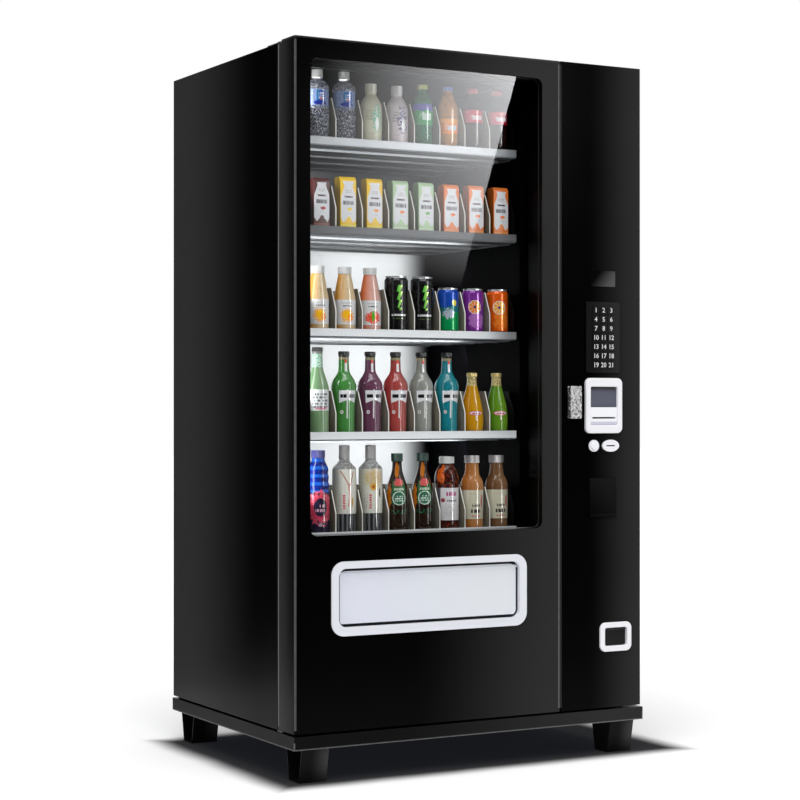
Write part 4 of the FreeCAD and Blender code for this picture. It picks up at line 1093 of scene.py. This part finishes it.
for lane, shift, (colour, liquid, lighter) in zip(range(2, 7), (3, 3, 1, 1, 4), waisted):
    turned(f"waisted_bottle_{lane}", 4, lane, shift, waisted_line,
           [glass_drink(f"{colour}_glass", liquid, lighter, ribbon_art), black_cap], 210.5, fat=1.12)
turned("pear_bottle_7", 4, 7, 6, pear_line,
       [glass_drink("gold_glass", tint(186, 122, 6), tint(204, 152, 20), pear_art), gold_cap], 156.5,
       fat=1.14)
turned("pear_bottle_8", 4, 8, 9, pear_line,
       [glass_drink("leaf_glass", tint(70, 116, 14), tint(112, 158, 44), pear_art), gold_cap], 156.5,
       fat=1.14)


# ---- stock: the foot row ------------------------------------------------------------
# Row 5: a ringed sports drink, two flavoured waters in paper sleeves, two brown beers, an
# amber vitamin drink and two teas.
p = Print("sports_drink", 31.0)
# Painted highlights: the blue upper body is lighter on each ring.
rings = (p.h * (2 * math.pi / 21.0) - 1.0).wave()
upper = p.w.over(tint(14, 34, 120), rings.rise(-0.6, 1.0), tint(30, 92, 196))
art = p.layer(p.w.over(tint(38, 34, 58), p.h > 112.0, upper),
              (p.splash(2, 70, 40, 42, 9.0, 0.7), tint(214, 84, 104)),
              (p.splash(2, 70, 30, 30, 4.0, 0.7), tint(196, 58, 86)),
              (p.spot(2, 72, 19, 24), tint(34, 30, 52)),
              (p.lines(-12, 15, 60, 84, 2, 3.4, 0.44), tint(214, 160, 180)),
              (p.spot(2, 26, 6, 5), tint(190, 160, 176)))
sports_line = [(0, 0), (25, 0), (29, 3), (31, 12), (31, 108), (31, 112), (27, 119), (31, 129),
               (26.5, 140), (30, 150), (25.5, 161), (28.5, 171), (24, 184), (17.5, 195), (16.8, 203),
               (16.8, 203), (19, 203), (19, 203), (19, 223), (19, 223), (0, 223)]
turned("sports_bottle_1", 5, 1, 16, sports_line,
       [p.done(art, 0.12), cap_finish("violet_cap", tint(74, 72, 148))], 202.5)


def flavoured_water(name, art):
    p = Print(name, 32.5)
    # Painted shading: the clear body shows light and dark upright stripes.
    columns = (p.s * (2 * math.pi / 13.0)).wave() * 0.5 + 0.5 * p.mottle(5.0, 3.0, tall=8.0)
    liquid = p.w.over(tint(40, 41, 44), columns.rise(-0.1, 0.8), tint(132, 134, 138))
    shoulder = p.w.over(tint(112, 112, 110), p.mottle(5.0, 3.0) > 0.5, tint(178, 178, 176))
    sleeve = p.layer(p.w.over(tint(168, 166, 154), p.s.rise(-36, -6), tint(218, 216, 206)), *art(p),
                     (p.lines(-9, -3, 66, 106, 6, 2.0, 0.30), tint(206, 58, 76)),
                     (p.lines(-24, -12, 62, 108, 9, 1.6, 0.55), tint(140, 140, 130)))
    body = p.layer(liquid, (p.h > 172, shoulder), (p.band(53, 172), sleeve))
    return p.done(body, 0.14, 0.72 + 0.28 * p.band(53, 172))


def branch_art(p):
    bark = tint(168, 108, 96)
    stem = (abs(p.s - 9.0 + 2.0 * (p.h / 9.0).wave()) < 2.4) & p.band(72, 132)
    left = (abs(p.s - 9.0 + (p.h - 128.0) * 0.62) < 1.9) & p.band(128, 168)
    right = (abs(p.s - 11.0 - (p.h - 128.0) * 0.28) < 1.7) & p.band(128, 166)
    return [(stem, tint(204, 146, 130)), (left, bark), (right, bark),
            (p.splash(18, 84, 3, 14, 3.0, 0.4), tint(196, 150, 60))]


def flower_art(p):
    return [(p.splash(2, 146, 26, 24, 3.0, 1.5) & (p.mottle(3.5) > 0.46), tint(190, 176, 110)),
            (p.splash(6, 150, 24, 20, 2.4, 1.3) & (p.mottle(2.6, 2.0, 3.0) > 0.54), tint(214, 150, 110)),
            (p.spot(2, 124, 9, 10), tint(222, 168, 72)), (p.spot(2, 124, 4, 4.6), tint(170, 96, 50)),
            (p.splash(22, 108, 3, 13, 3.0, 0.5), tint(60, 56, 50))]


flavoured_line = [(0, 0), (28, 0), (31.5, 3), (32, 8), (32, 50), (32.5, 53), (32.5, 171), (32, 174),
                  (32, 174), (16, 191), (14, 194), (14, 199), (14, 199), (15, 200), (15.4, 206),
                  (14.6, 208), (14.6, 232), (14, 236), (0, 236)]
frost_cap = cap_finish("frosted_cap", tint(202, 198, 198))
turned("flavoured_water_2", 5, 2, 17, flavoured_line,
       [flavoured_water("branch_sleeve", branch_art), frost_cap], 199.5)
turned("flavoured_water_3", 5, 3, 16, flavoured_line,
       [flavoured_water("flower_sleeve", flower_art), frost_cap], 199.5)

p = Print("beer_glass", 29.0)
# Painted glow: light through the brown glass near its left edge and at the neck.
glow = (p.splash(-30, 92, 8, 34, 12.0, 0.6) | p.splash(-6, 168, 12, 20, 9.0, 0.4))
art = p.layer(tint(42, 28, 20), (glow, tint(196, 112, 30)), (p.patch(-20, 20, 75, 138), tint(26, 92, 46)),
              (p.splash(0, 134, 15, 11, 4.0, 0.6), tint(212, 92, 92)),
              (p.lines(-13, 14, 112, 122, 1, 3.2, 0.40), tint(196, 214, 190)),
              (p.spot(0, 91, 18, 19), tint(206, 224, 212)),
              (p.spot(0, 91, 15.5, 16.5), tint(54, 108, 82)),
              (p.lines(-11, 11, 82, 100, 3, 3.0, 0.44), tint(206, 224, 212)),
              (p.band(48, 60) & (p.mottle(6.0) > 0.52), tint(36, 84, 60)))
beer = p.done(art, 0.09, Coat_Weight=0.8, Coat_Roughness=0.05)
beer_line = [(0, 0), (23, 0), (27, 3), (28.5, 12), (29, 60), (29, 102), (27, 120), (21, 140), (15, 158),
             (12.6, 172), (12.2, 188), (12.2, 190), (12.2, 190), (14.6, 190), (15.4, 192), (15.4, 211),
             (14.6, 212), (14.6, 212), (0, 212)]
forest_cap = cap_finish("forest_cap", tint(18, 72, 58))
for lane, shift in ((4, 8), (5, 7)):
    turned(f"beer_bottle_{lane}", 5, lane, shift, beer_line, [beer, forest_cap], 189.8, fat=1.06)

p = Print("vitamin_drink", 32.0)
# Painted glow: an orange patch of light at the left of the shoulder in the dark liquid.
liquid = p.layer(tint(58, 22, 16), (p.splash(-24, 152, 12, 26, 12.0, 0.6), tint(216, 96, 30)),
                 (p.mottle(9.0, 3.0) > 0.58, tint(126, 50, 28)))
art = p.layer(tint(218, 214, 216), (p.lines(-8, 22, 94, 110, 1, 3.6, 0.42), tint(176, 62, 128)),
              (p.spot(-17, 82, 6, 6), tint(150, 44, 62)),
              (p.lines(-6, 22, 78, 86, 1, 2.8, 0.40), tint(120, 118, 128)),
              (p.lines(-14, 20, 36, 72, 7, 1.8, 0.52), tint(176, 172, 178)),
              (p.s < -24.0, tint(96, 92, 98)))
vitamin_line = [(0, 0), (27, 0), (31, 3), (32, 12), (32, 116), (31, 120), (29.5, 125), (32.5, 131),
                (32.5, 144), (29, 160), (22, 173), (18, 178), (17.5, 183), (17.5, 183), (20, 183),
                (20, 183), (20, 201), (20, 201), (0, 201)]
turned("vitamin_bottle_6", 5, 6, 15, vitamin_line,
       [p.done(p.w.over(liquid, p.band(27, 116), art), 0.12), white_cap], 182.5, fat=1.05)


def tea(name, deep, pale):
    p = Print(name, 30.0)
    # Painted light: the tea is paler towards the right.
    liquid = p.w.over(deep, (p.s.rise(-30, 20) * 0.8 + 0.2 * p.mottle(10.0)).clip(), pale)
    art = p.layer(tint(204, 198, 176), (p.lines(-6, 16, 62, 72, 1, 3.0, 0.42), tint(84, 80, 74)),
                  (p.lines(-9, 20, 45, 60, 1, 5.0, 0.40), tint(46, 44, 42)),
                  (p.lines(-8, 18, 34, 40, 1, 2.4, 0.44), tint(196, 92, 88)),
                  (p.lines(-18, 14, 96, 101, 1, 1.8, 0.5), tint(168, 150, 130)),
                  (p.splash(22, 78, 3, 18, 6.0, 0.4), tint(196, 96, 96)))
    return p.done(p.w.over(liquid, p.band(28, 108), art), 0.13)


tea_line = [(0, 0), (26, 0), (29.5, 3), (30, 14), (29.5, 26), (30.5, 60), (30.5, 108), (31, 112),
            (31, 124), (27, 137), (20.5, 148), (18.8, 156), (17.5, 183), (17.5, 183), (20, 183),
            (20, 183), (20, 203), (20, 203), (0, 203)]
for lane, shift, deep, pale in ((7, 10, tint(160, 92, 34), tint(186, 132, 84)),
                                (8, 11, tint(96, 62, 34), tint(132, 98, 70))):
    turned(f"tea_bottle_{lane}", 5, lane, shift, tea_line, [tea(f"tea_{lane}", deep, pale), silver_cap],
           182.5, fat=1.06)


# ---- highlight on the stock ---------------------------------------------------------
# A tall strip lamp right of the buyer, linked to the stock alone: it draws the upright
# highlight that every bottle and can carries on its right-hand side.
strip_height = 1.25
strip = lamp("stock_strip_lamp", "AREA", (1.24, -2.56, strip_height), (-0.15, stock_y, strip_height),
             energy=120.0, shape="RECTANGLE", size=0.12, size_y=2.4)
strip.visible_diffuse = False
lit_only = bpy.data.collections.new("strip_lit")
for piece in stock:
    lit_only.objects.link(piece)
strip.light_linking.receiver_collection = lit_only
